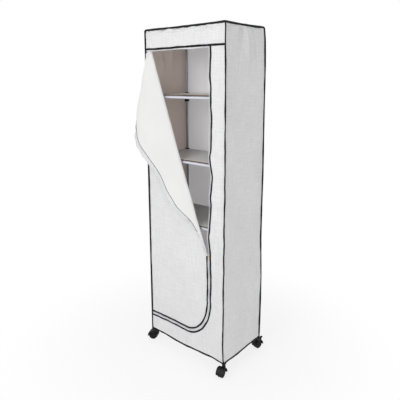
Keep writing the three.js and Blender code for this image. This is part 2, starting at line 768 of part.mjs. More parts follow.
// The cover
add("cover_side_left", sidePanel(-1), whiteCloth);
add("cover_side_right", sidePanel(1), whiteCloth);
add("cover_back", backPanel(), whiteCloth);
add("cover_roof", roof(), whiteCloth);
add("cover_header", header(), whiteCloth);
add("cover_surround", surround(), whiteCloth);
add("door_lower", doorLower(), whiteCloth);
add("door_flap", doorFlap(), whiteCloth);

// The slider stands at the fold's lower end, where the closed chain begins.
add("zip_slider", zipSlider(), brass).position.set(chainX, clothMiddle, foldBottom.y);
add("zip_pull", zipPull(), brass).position.set(chainX, clothMiddle - pullBar, foldBottom.y);

// Move the whole so that the origin is on the floor, under the middle of the outline.
const outline = new THREE.Box3().setFromObject(wardrobe, true);
const middle = outline.getCenter(at(0, 0, 0));
wardrobe.position.set(-middle.x, -middle.y, -outline.min.z);

export default wardrobe;
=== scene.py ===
"""The looks of a portable fabric wardrobe: a rack of white tubes in black connectors, with a sewn
white cover over it. The door is unzipped at its upper right corner, which is folded back.

Shapes are worked out in metres in the cover's own frame, +X to the right along the front, the
front facing -Y, +Z up, with its origin on the floor under the cover's middle, and are then moved
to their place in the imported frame.
"""

import math
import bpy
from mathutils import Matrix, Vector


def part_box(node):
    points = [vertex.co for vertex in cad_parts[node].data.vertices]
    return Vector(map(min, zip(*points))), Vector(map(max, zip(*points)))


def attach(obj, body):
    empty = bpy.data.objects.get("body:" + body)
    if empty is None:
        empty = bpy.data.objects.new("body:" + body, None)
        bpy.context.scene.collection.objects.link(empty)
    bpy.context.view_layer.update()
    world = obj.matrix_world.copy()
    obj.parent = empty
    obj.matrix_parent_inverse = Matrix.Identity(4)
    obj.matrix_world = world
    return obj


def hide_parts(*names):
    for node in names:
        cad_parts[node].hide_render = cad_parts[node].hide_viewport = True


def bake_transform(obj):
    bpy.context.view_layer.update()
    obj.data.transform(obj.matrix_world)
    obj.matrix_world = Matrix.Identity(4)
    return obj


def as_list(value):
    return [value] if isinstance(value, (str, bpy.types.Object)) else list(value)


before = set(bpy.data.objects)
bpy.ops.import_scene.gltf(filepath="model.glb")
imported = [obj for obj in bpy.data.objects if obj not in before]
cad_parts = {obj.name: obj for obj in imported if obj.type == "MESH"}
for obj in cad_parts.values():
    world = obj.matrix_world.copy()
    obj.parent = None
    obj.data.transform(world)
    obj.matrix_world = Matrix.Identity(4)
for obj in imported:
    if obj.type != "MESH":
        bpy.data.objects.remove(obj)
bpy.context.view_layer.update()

from types import SimpleNamespace

import bmesh
import bpy
import numpy as np
from mathutils import Matrix

bl_info = {
    "name": "Fabric wardrobe",
    "version": (1, 0, 0),
    "blender": (4, 5, 0),
    "location": "View3D > Sidebar > Wardrobe",
    "description": "Builds the cloth, rack and casters of a portable wardrobe",
    "category": "Object",
}

ROOF_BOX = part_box("cover_roof")
FOOT_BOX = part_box("post_front_left")
BASE = "frame_and_cover"
FLAP = "door_flap"
CORNERS = (  # name, side, end, way that the caster trails in degrees, brake
    ("front_left", -1, -1, 205, False),
    ("front_right", 1, -1, 282, False),
    ("rear_left", -1, 1, 118, True),
    ("rear_right", 1, 1, 80, True),
)
RIGHT, BACK, UP = np.eye(3)
OUT = np.array((0, -1.0, 0))
SEAM_INSET = 0.0015  # from the cover's outside to its sewn edges
SIDES = ((1, "right", 3), (-1, "left", 17))  # side, name, seed of its folds
DRAWN_IN = 0.02, 0.27  # from the slider, over which the folded corner spreads to its full width
LEVER_PLACE, LEVER_TILT = 50, 12  # a brake's pivot round the axle and its slant, in degrees
AROUND = ((1, 1), (-1, 1), (-1, -1), (1, -1))  # the corners' sides, anticlockwise
QUARTER_GONE = 1 - math.pi / 4  # of a square, what a quarter of a circle leaves over
WEAVE = 0.0011  # from one thread of the cloth to the next
ROOF_CORNER = 0.004  # radius of the roof's corners
HEM_RISE = 0.0032  # from the hem up to the middle of its binding
TAPE_SHORT = 0.0012  # by how much the zip's tape ends before its teeth
KINDS = {  # materials in order, the slot that they fill, and whether the parts are welded
    "cloth": (("Woven cloth", "Cloth lining"), "white_cloth", False),
    "side cloth": (("Woven cloth", "Side lining painted shade"), "white_cloth", False),
    "back cloth": (("Woven cloth", "Back lining painted tint"), "white_cloth", False),
    "binding": (("Woven binding",), "black_plastic", False),
    "zip": (("Zip tape", "Zip coil"), "white_cloth", False),
    "thread": (("Thread",), "white_cloth", False),
    "post": (("Grey steel painted shade",), "white_steel", False),
    "rail": (("Painted steel",), "white_steel", False),
    "board": (("Raw board edge", "Coated board"), "white_board", False),
    "moulded": (("Moulded plastic",), "black_plastic", True),
    "wheel": (("Wheel rubber",), "black_rubber", True),
    "brass": (("Brass",), "brass", True),
}


# --- Sizes and colours ---------------------------------------------------------------------------


def length(label, about, value):
    """A property that holds a length in metres."""
    return bpy.props.FloatProperty(
        name=label, description=about, default=value, min=0, precision=4, unit="LENGTH"
    )


def angle(label, about, degrees):
    """A property that holds an angle."""
    return bpy.props.FloatProperty(
        name=label, description=about, default=math.radians(degrees), unit="ROTATION"
    )


def colour(label, about, value):
    """A property that holds a linear colour."""
    return bpy.props.FloatVectorProperty(
        name=label, description=about, default=value, size=3, min=0, max=1, subtype="COLOR"
    )


class WardrobeCover(bpy.types.PropertyGroup):
    """Sizes of the sewn cover and of its door."""

    width: length("Width", "Across the front", 0.488)
    depth: length("Depth", "From the front to the back", 0.291)
    height: length("Height", "From the hem to the roof", 1.555)
    hem: length("Hem height", "From the floor to the hem", 0.066)
    thickness: length("Cloth thickness", "Of the woven cloth", 0.0007)
    header: length("Header", "Height of the band over the door", 0.0915)
    binding: length("Binding", "Width of the black binding", 0.0084)
    strip: length("Strip", "Width of the fixed cloth right of the door", 0.082)
    skirt: length("Skirt", "Height of the fixed cloth under the door", 0.082)
    corner_width: length("Zip corner width", "Half width of the zip's elliptical corner", 0.157)
    corner_height: length("Zip corner height", "Half height of that corner", 0.2)
    zip_spacing: length("Zip spacing", "Between the two bindings beside the zip", 0.02)
    top_gap: length("Top gap", "Between the header's seam and the door's top edge", 0.012)
    fold_inset: length("Fold inset", "Fold's upper end from the left edge", 0.044)
    fold_height: length("Fold height", "Fold's lower end above the hem", 0.512)
    fold_lift: angle("Fold lift", "How far the folded corner stands off the door", 8)
    curl_angle: angle("Curl", "Half angle of the cone that the corner curls round", 22.4)


class WardrobeRack(bpy.types.PropertyGroup):
    """Sizes of the rack and of the casters."""

    tube: length("Tube radius", "Of the posts and rails", 0.006)
    post_inset: length("Post inset", "Post's axis from the cover's outside", 0.0171)
    lowest: length("Lowest rails", "Their axis above the floor", 0.089)
    spacing: length("Spacing", "From one ring of rails to the next", 0.30362)
    sleeve: length("Sleeve radius", "Of a connector's sleeve", 0.012)
    socket: length("Socket radius", "Of a connector's socket", 0.009)
    reach: length("Socket reach", "From the post's axis to the socket's mouth", 0.034)
    board: length("Board thickness", "Of a shelf board", 0.005)
    wheel: length("Wheel radius", "Of a caster's wheel", 0.0225)
    trail: length("Trail", "From the stem's axis to the axle", 0.0245)


class WardrobeFinish(bpy.types.PropertyGroup):
    """Colours of the wardrobe's finishes."""

    cloth: colour("Cloth", "Woven outside of the cover", (0.82, 0.818, 0.824))
    lining: colour("Lining", "Smooth inside of the cover", (0.86, 0.855, 0.85))
    # Painted shade: darker and browner than the lining, for the shaded inside of the side panels,
    # whose cloth is as white as the lining.
    side_lining_painted_shade: colour("Side lining painted shade", "Inside of the side panels", (0.53, 0.44, 0.385))
    binding: colour("Binding", "Woven tape on the cover's edges", (0.008, 0.008, 0.0085))
    tape: colour("Zip tape", "Tape that carries the teeth", (0.82, 0.82, 0.83))
    teeth: colour("Zip teeth", "Coil of the zip", (0.74, 0.74, 0.79))
    steel: colour("Steel", "Painted tubes", (0.66, 0.68, 0.76))
    plastic: colour("Plastic", "Connectors, casters and feet", (0.006, 0.006, 0.006))
    rubber: colour("Rubber", "Wheels", (0.009, 0.009, 0.009))
    board: colour("Board", "Coated face of the shelf boards", (0.80, 0.79, 0.77))
    board_edge: colour("Board edge", "Raw edge of the shelf boards", (0.16, 0.10, 0.055))
    brass: colour("Brass", "Slider and pull", (0.80, 0.68, 0.52))


def layout():
    """Places that follow from the sizes, in the cover's own frame."""
    c = bpy.context.scene.wardrobe_cover
    r = bpy.context.scene.wardrobe_rack
    side, front, top = c.width / 2, -c.depth / 2, c.hem + c.height
    seam = top - c.header
    zip_edge = side - c.strip
    zip_low = c.hem + c.skirt
    door_top = seam - c.top_gap
    door_edge = zip_edge - c.zip_spacing
    fold_top = np.array((c.fold_inset - side, door_top))
    fold_low = np.array((door_edge, c.hem + c.fold_height))
    way = unit(fold_low - fold_top)
    across = np.array((way[1], -way[0]))
    corner = np.array((door_edge, door_top)) - fold_top
    tip = fold_top + way * corner.dot(way) - across * corner.dot(across)
    return SimpleNamespace(
        side=side, front=front, back=-front, top=top, low=c.hem, seam=seam,
        zip_edge=zip_edge, zip_low=zip_low, door_top=door_top, door_edge=door_edge,
        x_half=side - SEAM_INSET, y_half=-front - SEAM_INSET, door_face=front + 0.0008,
        door_left=-side + 0.0048, fold_top=fold_top, fold_low=fold_low, way=way, across=across,
        tip=tip, fold_face=front - 0.0075, chain_x=zip_edge - c.zip_spacing / 2,
        post_x=side - r.post_inset, post_y=-front - r.post_inset,
        levels=[r.lowest + i * r.spacing for i in range(6)],
    )  # fmt: skip


def cover():
    """The cover's sizes, and the places that follow."""
    return bpy.context.scene.wardrobe_cover, layout()


def rack():
    """The rack's sizes, and the places that follow."""
    return bpy.context.scene.wardrobe_rack, layout()


# --- Meshes --------------------------------------------------------------------------------------


def stacked(*columns):
    """Places from their columns of numbers, each spread to the shape of all."""
    return np.stack(np.broadcast_arrays(*columns), axis=-1)


def unit(vectors):
    """Vectors brought to a length of 1."""
    return vectors / np.linalg.norm(vectors, axis=-1, keepdims=True)


def run_of(path):
    """The distance along a path at each of its places."""
    return np.append(0, np.cumsum(np.linalg.norm(np.diff(path, axis=0), axis=1)))


def shift():
    """Where the cover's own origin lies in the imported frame."""
    low, high = ROOF_BOX
    foot = FOOT_BOX[0][2] - 0.056
    return np.array(((low[0] + high[0]) / 2, (low[1] + high[1]) / 2, foot))


def grid(points, uv=None, around=False, caps=False):
    """Four-sided faces over a grid of points, rows by columns. They face the way of the columns
    crossed with that of the rows. `around` joins the last column to the first, and `caps` closes
    the first and last rows."""
    rows, columns = points.shape[:2]
    index = np.arange(rows * columns).reshape(rows, columns)
    if around:
        index = np.concatenate([index, index[:, :1]], axis=1)
    if uv is None:
        uv = np.zeros((rows, index.shape[1], 2))
    cells = [(slice(None, -1), slice(None, -1)), (slice(None, -1), slice(1, None)),
             (slice(1, None), slice(1, None)), (slice(1, None), slice(None, -1))]  # fmt: skip
    quads = np.stack([index[c] for c in cells], axis=-1).reshape(-1, 4)
    corners = np.stack([uv[c] for c in cells], axis=2).reshape(-1, 2)
    faces = quads.tolist()
    if caps:
        ends = [index[0, :columns][::-1].tolist(), index[-1, :columns].tolist()]
        faces += ends
        corners = np.concatenate([corners, uv[0, :columns][::-1], uv[-1, :columns]])
    return {"points": points.reshape(-1, 3), "faces": faces, "uv": corners}


def turned_over(part):
    """The same faces, facing the other way."""
    faces, corners, start = [], [], 0
    for face in part["faces"]:
        faces.append(face[::-1])
        corners.append(part["uv"][start : start + len(face)][::-1])
        start += len(face)
    return {**part, "faces": faces, "uv": np.concatenate(corners)}


def sweep(path, across, up, profile, closed=False):
    """A profile of (across, up) places carried along a path, closed to a tube: each place is the
    path's point plus the two vectors times the profile's numbers. A closed path has no caps."""
    shape = (len(path), 1, 3)
    across, up = (np.broadcast_to(v, path.shape).reshape(shape) for v in (across, up))
    profile = np.asarray(profile)
    if profile.ndim == 2:
        profile = np.broadcast_to(profile, (len(path), *profile.shape))
    if closed:
        path = np.concatenate([path, path[:1]])
        across, up, profile = (np.concatenate([v, v[:1]]) for v in (across, up, profile))
    points = path[:, None] + profile[..., :1] * across + profile[..., 1:] * up
    ring = np.concatenate([points, points[:, :1]], axis=1)
    uv = stacked(*np.meshgrid(run_of(ring[0]), run_of(path)))
    made = grid(points, uv, around=True, caps=not closed)
    middle = len(path) // 2
    step = path[middle] - path[middle - 1]
    hand = np.dot(np.cross(across[middle, 0], up[middle, 0]), step)
    return made if hand > 0 else turned_over(made)


def oval(width, height, sides=12, square=0.75):
    """A rounded outline: width and height times cosine and sine, each raised to the power
    `square`, which flattens the sides as it falls below 1."""
    a = 2 * math.pi * (np.arange(sides) + 0.5) / sides
    c, s = np.cos(a), np.sin(a)
    x = np.sign(c) * np.abs(c) ** square * width / 2
    return stacked(x, np.sign(s) * np.abs(s) ** square * height / 2)


def circle(radius, sides):
    """Places round a circle, as (across, up)."""
    a = 2 * math.pi * np.arange(sides) / sides
    return radius * stacked(np.cos(a), np.sin(a))


def tapered(widths, height, sides, square):
    """Ovals as wide as each of some widths, and all of one height."""
    return oval(1, 1, sides, square)[None] * stacked(widths, height)[:, None]


def lathe(profile, sides=40):
    """A profile of (radius, height) places turned round the Z axis: x and y are the radius times
    the turn's cosine and sine. A place with no radius is a pole."""
    radius, height = np.array(profile, float).T
    turn = np.pad(circle(1, sides), ((0, 0), (0, 1)))
    points = radius[:, None, None] * turn + height[:, None, None] * UP
    u = np.linspace(0, 2 * math.pi, sides + 1) * radius.max()
    v = run_of(np.array(profile, float))
    return grid(points, stacked(*np.meshgrid(u, v)), around=True)


def moved(part, offset=(0, 0, 0), spin=0.0):
    """A part turned round the Z axis by `spin` and then moved."""
    c, s = math.cos(spin), math.sin(spin)
    turn = np.array(((c, -s, 0), (s, c, 0), (0, 0, 1)))
    return {**part, "points": part["points"] @ turn.T + np.array(offset)}


def laid(part):
    """A part made round the Z axis, laid along the Y axis."""
    x, y, z = part["points"].T
    return {**part, "points": stacked(x, z, -y)}


def bar(start, end, radius, sides=32):
    """A round bar between two points along X, Y or Z."""
    start, end = np.array(start, float), np.array(end, float)
    way = unit(end - start)
    across = UP if abs(way[2]) < 0.5 else RIGHT
    return sweep(np.stack([start, end]), across, np.cross(way, across), circle(radius, sides))


def copies(places, along, across, up, sizes, mat):
    """One small rounded block at each place: six-sided rings at four stations along it, the outer
    two narrowed. `sizes` is its length, width and height."""
    sides, n = 6, len(places)
    stations = np.array((-1, -0.55, 0.55, 1)) / 2
    narrow = np.array((0.45, 1, 1, 0.45))[:, None, None]
    ring = narrow * oval(1, 1, sides, 0.85)
    along, across, up = (np.broadcast_to(v, (n, 3))[:, None, None] for v in (along, across, up))
    points = np.broadcast_to(places, (n, 3))[:, None, None]
    points = points + along * stations[:, None, None] * sizes[0]
    points = points + across * ring[..., :1] * sizes[1] + up * ring[..., 1:] * sizes[2]
    block = grid(np.zeros((4, sides, 3)), around=True, caps=True)["faces"]
    every = np.arange(n)[:, None] * 4 * sides
    faces = (np.array(block[:-2])[None] + every[:, None]).reshape(-1, 4).tolist()
    for end in block[-2:]:
        faces += (np.array(end) + every).tolist()
    made = {"points": points.reshape(-1, 3), "faces": faces, "mat": mat}
    made["uv"] = np.zeros((sum(len(f) for f in faces), 2))
    hand = np.dot(np.cross(across[0, 0, 0], up[0, 0, 0]), along[0, 0, 0])
    return made if hand > 0 else turned_over(made)


def piece(name, parts, kind, replaces=(), body=BASE, sharp=40):
    """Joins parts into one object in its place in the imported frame, riding on a body. What is sewn
    follows the cover's hanging corners."""
    materials, slot, weld = KINDS[kind]
    sewn = (slot == "white_cloth" or kind == "binding") and body != FLAP
    points, faces, corners, mats, start = [], [], [], [], 0
    for part in parts:
        points.append((hung(part["points"]) if sewn else part["points"]) + shift())
        faces += [[i + start for i in face] for face in part["faces"]]
        corners.append(part["uv"])
        mats += [part.get("mat", 0)] * len(part["faces"])
        start += len(part["points"])
    mesh = bpy.data.meshes.new(name)
    mesh.from_pydata(np.concatenate(points).tolist(), [], faces)
    layer = mesh.uv_layers.new(name="flat")
    layer.data.foreach_set("uv", np.concatenate(corners).astype(np.float32).ravel())
    mesh.polygons.foreach_set("material_index", mats)
    for material in materials:
        mesh.materials.append(bpy.data.materials[material])
    if weld:
        welded = bmesh.new()
        welded.from_mesh(mesh)
        bmesh.ops.remove_doubles(welded, verts=welded.verts, dist=1e-6)
        bmesh.ops.recalc_face_normals(welded, faces=welded.faces)
        welded.to_mesh(mesh)
        welded.free()
    mesh.shade_smooth()
    mesh.set_sharp_from_angle(angle=math.radians(sharp))
    made = added(name, mesh)
    if body:
        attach(made, body)
    if replaces:
        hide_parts(*replaces)
    return made


def melted(made, voxel, rounds=3):
    """Joins a piece's overlapping shells into one moulded skin: a voxel remesh, then smoothing."""
    remesh = made.modifiers.new("Mould", "REMESH")
    remesh.mode, remesh.voxel_size = "VOXEL", voxel
    smooth = made.modifiers.new("Ease", "SMOOTH")
    smooth.factor, smooth.iterations = 0.5, rounds
    depsgraph = bpy.context.evaluated_depsgraph_get()
    mesh = bpy.data.meshes.new_from_object(made.evaluated_get(depsgraph))
    made.modifiers.clear()
    made.data = mesh
    mesh.shade_smooth()


def thickened(made, thickness, offset=0, lining=1):
    """Gives a sheet its thickness. Its inside takes the material `lining` places after its own."""
    solid = made.modifiers.new("Cloth", "SOLIDIFY")
    solid.thickness, solid.offset = thickness, offset
    solid.material_offset, solid.material_offset_rim = lining, 0


def added(name, data):
    """A new object in the scene."""
    made = bpy.data.objects.new(name, data)
    bpy.context.scene.collection.objects.link(made)
    return made


# --- Unevenness of cloth -------------------------------------------------------------------------


def ripples(a, b, seed, longest=0.5, shortest=0.07, waves=12):
    """Soft unevenness, about -1 to 1: a sum of plane waves whose ways, lengths and phases are
    drawn from a seed, each as high as it is long."""
    draws = np.random.default_rng(seed)
    total = np.zeros(np.broadcast(a, b).shape)
    for _ in range(waves):
        wave = shortest * (longest / shortest) ** draws.random()
        way, phase = draws.random(2) * 2 * math.pi
        along = a * math.cos(way) + b * math.sin(way)
        total += wave * np.cos(2 * math.pi * along / wave + phase)
    return total / longest / math.sqrt(waves / 4)


def hill(x, middle, width):
    """A smooth hill, 1 at its middle."""
    return np.exp(-(((x - middle) / width) ** 2))


def step(x, low, high):
    """A smooth step from 0 at low to 1 at high."""
    t = np.clip((x - low) / (high - low), 0, 1)
    return t * t * (3 - 2 * t)


def eased(v, places, values, width=0.012):
    """A smooth line through a few places: their straight line, averaged over a short run."""
    fine = np.linspace(places[0], places[-1], 800)
    near = max(int(width / (fine[1] - fine[0])), 1)
    line = np.pad(np.interp(fine, places, values), near, "edge")
    soft = np.convolve(line, np.ones(2 * near + 1) / (2 * near + 1), "valid")
    return np.interp(v, fine, soft)


def wander(v, seed, size, shortest=0.06, longest=0.35):
    """How far a sewn line strays, `size` at most or so, along its length v."""
    return size * ripples(v, 0 * v, seed, longest, shortest, 8)


def hem_at(x, y):
    """Height of the hem, which hangs lower in the middle of the front and waves a little."""
    p = layout()
    droop = 0.008 * hill(x, -0.06, 0.11) * hill(y, p.front, 0.03)
    return p.low - droop + wander(x + y, 31, 0.0012)


def roof_edge(x, y):
    """Height of the roof's edge, which sags between the connectors."""
    p = layout()
    along_x = 1 - (np.abs(x) / p.side) ** 2
    along_y = 1 - (np.abs(y) / p.back) ** 2
    return p.top - 0.0015 - 0.0022 * along_x - 0.002 * along_y


def hung(points):
    """Places on the cover moved with its two right corners, which don't hang straight: each moves
    level, by an amount read along its height times its own (x, y), and the cloth near it
    follows."""
    p = layout()
    x, y, z = points.T
    low = (0, 0.01, 0.08, 0.22, 0.34, 0.47, 0.64, 0.8, 1.08, 1.56)
    front = eased(z - p.low, low, (0, -1.6, -2.2, -2.0, -1.6, -0.8, -0.5, 0.3, 0, 0)) / 1000
    high = (0, 0.2, 0.34, 0.54, 0.73, 0.87, 1.17, 1.38, 1.5, 1.56)
    rear = eased(z - p.low, high, (0, 0.8, 1.1, 0.1, 0.6, 1.2, 1.3, 1.7, 1.2, 0)) / 1000
    near = step(x, 0.165, p.side)
    at_front, at_rear = near * step(-y, 0.02, p.back), near * step(y, 0.02, p.back)
    front_way, rear_way = np.array((1.5, 5, 0)), np.array((4.5, 1.3, 0))
    points = points + (at_front * front)[:, None] * front_way
    return points + (at_rear * rear)[:, None] * rear_way


def strip_drift(z):
    """How far the zip's fixed edge strays to the right of its straight line, where it hangs free
    above the slider: a smooth line through a few heights above the hem."""
    p = layout()
    heights = (0, 0.26, 0.37, 0.43, 0.49, 0.53, 0.56, 0.6, 0.63, 0.66, 0.69, 0.73, 0.76, 0.79,
               0.82, 0.89, 0.92, 0.95, 0.98, 1.01, 1.07, 1.14, 1.2, 1.43)  # fmt: skip
    sizes = (-2, -2, 0, -2, -2, -2, -7, -13, -9, -4, 0, 3, 5, 1, 6, 9, 5, 0, -4, 2, 7, 7, 2, 2)
    return eased(z, p.low + np.array(heights), np.array(sizes) / 1000)


# --- Lines that the cover is sewn along ----------------------------------------------------------


def zip_line(inset, top, low_left, count=(150, 60, 60)):
    """The zip's line, moved in from the edge of the fixed cloth: down the right side, round a
    quarter of an ellipse, and along the bottom to the left. Rows of (x, z)."""
    c, p = cover()
    middle = np.array((p.zip_edge - c.corner_width, p.zip_low + c.corner_height))
    z = np.linspace(top, middle[1], count[0], endpoint=False)
    down = stacked(p.zip_edge - inset + strip_drift(z), z)
    a = np.linspace(0, math.pi / 2, count[1])
    size = np.array((c.corner_width - inset, c.corner_height - inset))
    corner = middle + size * stacked(np.cos(a), -np.sin(a))
    x = np.linspace(middle[0], low_left, count[2] + 1)[1:]
    along = stacked(x, np.full(count[2], p.zip_low + inset))
    return np.concatenate([down, corner, along])


def front_soft(x, z):
    """How far the front's cloth falls in: unevenness that ends at its corners and upper edge."""
    p = layout()
    fade = (1 - (x / p.side) ** 8) * step(p.top - z, 0.002, 0.02)
    return fade * 0.0016 * ripples(x, z, 97, 0.5, 0.06)


def sway(z):
    """How far the zip's fixed edge hangs out of the front's plane, where it is free above the
    slider."""
    p = layout()
    free = step(z, p.fold_low[1] + 0.03, p.fold_low[1] + 0.2) * step(p.seam - z, 0, 0.05)
    return free * (0.002 * np.sin(z * 21) + 0.0015 * np.sin(z * 47 + 1))


def on_front(line, proud=0.0, free=0.0):
    """Places on the front's cloth from rows of (x, z), standing out by `proud`. `free` is the
    share that they take of the fixed edge's sway."""
    p = layout()
    x, z = line.T
    return stacked(x, p.front + front_soft(x, z) + free * sway(z) - proud, z)


def beside(path, normal):
    """Unit vectors across a path, in the surface whose normal is given: the normal crossed with
    the way of the path."""
    return unit(np.cross(normal, np.gradient(path, axis=0)))


def read_at(at, run, rows):
    """Rows of three numbers, read between their places in a run."""
    return stacked(*(np.interp(at, run, column) for column in rows.T))


def evenly(path, pitch):
    """Places every `pitch` along a path, and the path's way at each."""
    run = run_of(path)
    s = np.arange(pitch / 2, run[-1], pitch)
    return read_at(s, run, path), unit(read_at(s, run, np.gradient(path, run, axis=0)))


def resampled(rows, count):
    """As many rows as wanted, read evenly along those given. A single row stays as it is."""
    if rows.ndim == 1:
        return rows
    return read_at(np.linspace(0, len(rows) - 1, count), np.arange(len(rows)), rows)


def binding(path, across, up, seed, width=None, height=0.0046, closed=False):
    """A binding: an oval ribbon along a path that strays a little, and is never quite as wide."""
    run = run_of(path)
    path = path + across * wander(run, seed, 0.0007, 0.03, 0.16)[:, None]
    wide = 1 + wander(run, seed + 1, 0.10, 0.02, 0.1)
    wide = wide * (width or bpy.context.scene.wardrobe_cover.binding)
    return sweep(path, across, up, tapered(wide, height, 14, 0.75), closed=closed)


def stitches(path, across, up, offset):
    """A line of stitches beside a path: a short thread every 4.2 mm, `offset` across it."""
    places, ways = evenly(path + across * offset, 0.0042)
    side = np.cross(ways, resampled(up, len(places)))
    return copies(places, ways, side, np.cross(side, ways), (0.003, 0.00075, 0.0007), 0)


def zip_teeth(path, across, up, offset):
    """One side of the coil: a rounded tooth every 2 mm, `offset` across the path."""
    places, ways = evenly(path + across * offset, 0.002)
    tops = resampled(up, len(places))
    size = 0.0028, 0.0013, 0.0016
    return copies(places + tops * 0.0006, np.cross(ways, tops), ways, tops, size, 1)


# --- Cloth ---------------------------------------------------------------------------------------


def cloth(name, part, flat, held, rests_on, replaces, area=None, kind="cloth", body=BASE,
          inwards=-1):  # fmt: skip
    """A panel of the cover: a grid of the outside's places, given its thickness behind it. The
    inside takes the second material."""
    made = piece(name, [part], kind, replaces, body)
    thickened(made, bpy.context.scene.wardrobe_cover.thickness, inwards)
    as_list(rests_on)


def panel(across, up, place, height=1):
    """A grid over two runs of numbers, and its places from `place`, with the flat cloth's own
    places as its UV map. `height` is what 1 in the second run is in metres."""
    a, b = np.meshgrid(across, up)
    return grid(place(a, b), stacked(a, b * height))


def side_in(a, b, seed):
    """How far a side panel falls in behind its corners: a sag, a few soft folds that hang from the
    roof, a fall below each level where it rests on the rails, and unevenness. a is from -1,
    front, to 1, back, and b from 0, hem, to 1, roof."""
    c, p = cover()
    fade = (1 - a**2) ** 2 * step(1 - b, 0, 0.012)
    y, z = a * c.depth / 2, b * c.height
    folds = 0.007 * step(b, 0.84, 0.97) * ripples(y, 0.2 * z, seed + 1, 0.1, 0.03)
    rests = 0
    for level in p.levels[:5]:
        below = level - p.low + 0.004 * np.sin(11 * y + seed + level) - z
        rests = rests + step(below, -0.004, 0.012) * step(-below, -0.26, 0)
    slant = 0.0012 * hill(z - 0.16 - 0.75 * (y + 0.07), 0, 0.008) * step(b, 0, 0.04)
    uneven = 0.0022 * ripples(y, z, seed, 0.6, 0.07)
    return fade * (0.0016 + 0.0022 * rests + folds + uneven - slant)


def build_sides():
    """The two side panels: x is half the width less how far the cloth falls in, y runs from front
    to back, and z from the wavy hem up to the sagging roof edge."""
    c, p = cover()
    for side, name, seed in SIDES:

        def place(y, b, side=side, seed=seed):
            x = side * (p.side - side_in(y / p.y_half, b, seed))
            low, high = hem_at(side * p.side, y), roof_edge(side * p.side, y)
            return stacked(x, y, low + b * (high - low))

        y = side * np.linspace(-p.y_half, p.y_half, 70)
        part = panel(y, np.linspace(0, 1, 330), place, c.height)
        rests = [f"side_rail_{name}_{i}" for i in range(1, 7)]
        cloth(f"cloth_{name}", part, (c.depth, c.height), "hung", rests, [f"cover_side_{name}"],
              kind="side cloth")  # fmt: skip


def back_in(x, b):
    """How far the back panel falls in: a sag, faint level creases, one upright crease and
    unevenness."""
    c = bpy.context.scene.wardrobe_cover
    z = b * c.height
    ends = step(1 - b, 0, 0.03)
    fade = (1 - (x / layout().side) ** 4) * ends
    creases = sum(0.0009 * hill(z, c.height - 0.3 * k, 0.006) for k in (1, 2, 3, 4))
    sag = 0.0025 + 0.0026 * ripples(x, z, 57, 0.7, 0.07)
    return np.maximum(fade * (sag + creases) + 0.0008 * hill(x, 0.01, 0.006) * ends, 0)


def build_back():
    """The back panel: y is the back less how far it falls in."""
    c, p = cover()

    def place(x, b):
        low, high = hem_at(x, p.back), roof_edge(x, p.back)
        return stacked(x, p.back - back_in(x, b), low + b * (high - low))

    part = panel(np.linspace(p.x_half, -p.x_half, 110), np.linspace(0, 1, 330), place, c.height)
    rests = [f"back_rail_{i}" for i in range(1, 7)]
    cloth("cloth_back", part, (c.width, c.height), "hung", rests, ["cover_back"],
          kind="back cloth")  # fmt: skip


def build_roof():
    """The roof: its edges follow the sagging bindings, and its middle sags further."""
    c, p = cover()

    def place(x, y):
        a, b = x / p.x_half, y / p.y_half
        inside = (1 - a**2) * (1 - b**2)
        ring = np.maximum(np.abs(a) ** 8, np.abs(b) ** 8)
        edge = p.top - 0.0008 - 0.0022 * (1 - a**2) - 0.002 * (1 - b**2)
        sag = 0.005 * inside + 0.0018 * ripples(x, y, 71, 0.4, 0.05) * (1 - ring)
        return stacked(x, y, edge - sag + 0.001 * hill(y, 0.01, 0.004) * inside)

    x, y = np.linspace(-p.x_half, p.x_half, 120), np.linspace(-p.y_half, p.y_half, 70)
    rests = ["front_rail_6", "back_rail_6", "side_rail_left_6", "side_rail_right_6"]
    part = panel(x, y, place)
    cloth("cloth_roof", part, (c.width, c.depth), "stretched", rests, ["cover_roof"])


def build_header():
    """The band over the door: flat, with soft upright folds near its left end and under the roof's
    binding."""
    c, p = cover()

    def place(x, b):
        left = 0.008 * hill(x - 0.012 * np.cos(2.6 * b), -0.213, 0.008)
        left = left + 0.004 * hill(x, -0.186, 0.01)
        right = 0.0045 * hill(x + 0.01 * b, 0.115, 0.007) * step(b, 0.3, 0.8)
        under = 0.006 * step(b, 0.55, 0.92) * ripples(x, 0.3 * b, 83, 0.12, 0.03)
        fade = step(b, 0, 0.2) * step(1 - b, 0, 0.08) * (1 - (x / p.x_half) ** 8)
        z = p.seam + b * (roof_edge(x, p.front) - p.seam)
        return stacked(x, p.front + front_soft(x, z) + fade * (left + right + under), z)

    part = panel(np.linspace(-p.x_half, p.x_half, 150), np.linspace(0, 1, 30), place, c.header)
    cloth("cloth_header", part, (c.width, c.header), "hung", ["front_rail_6"], ["cover_header"])


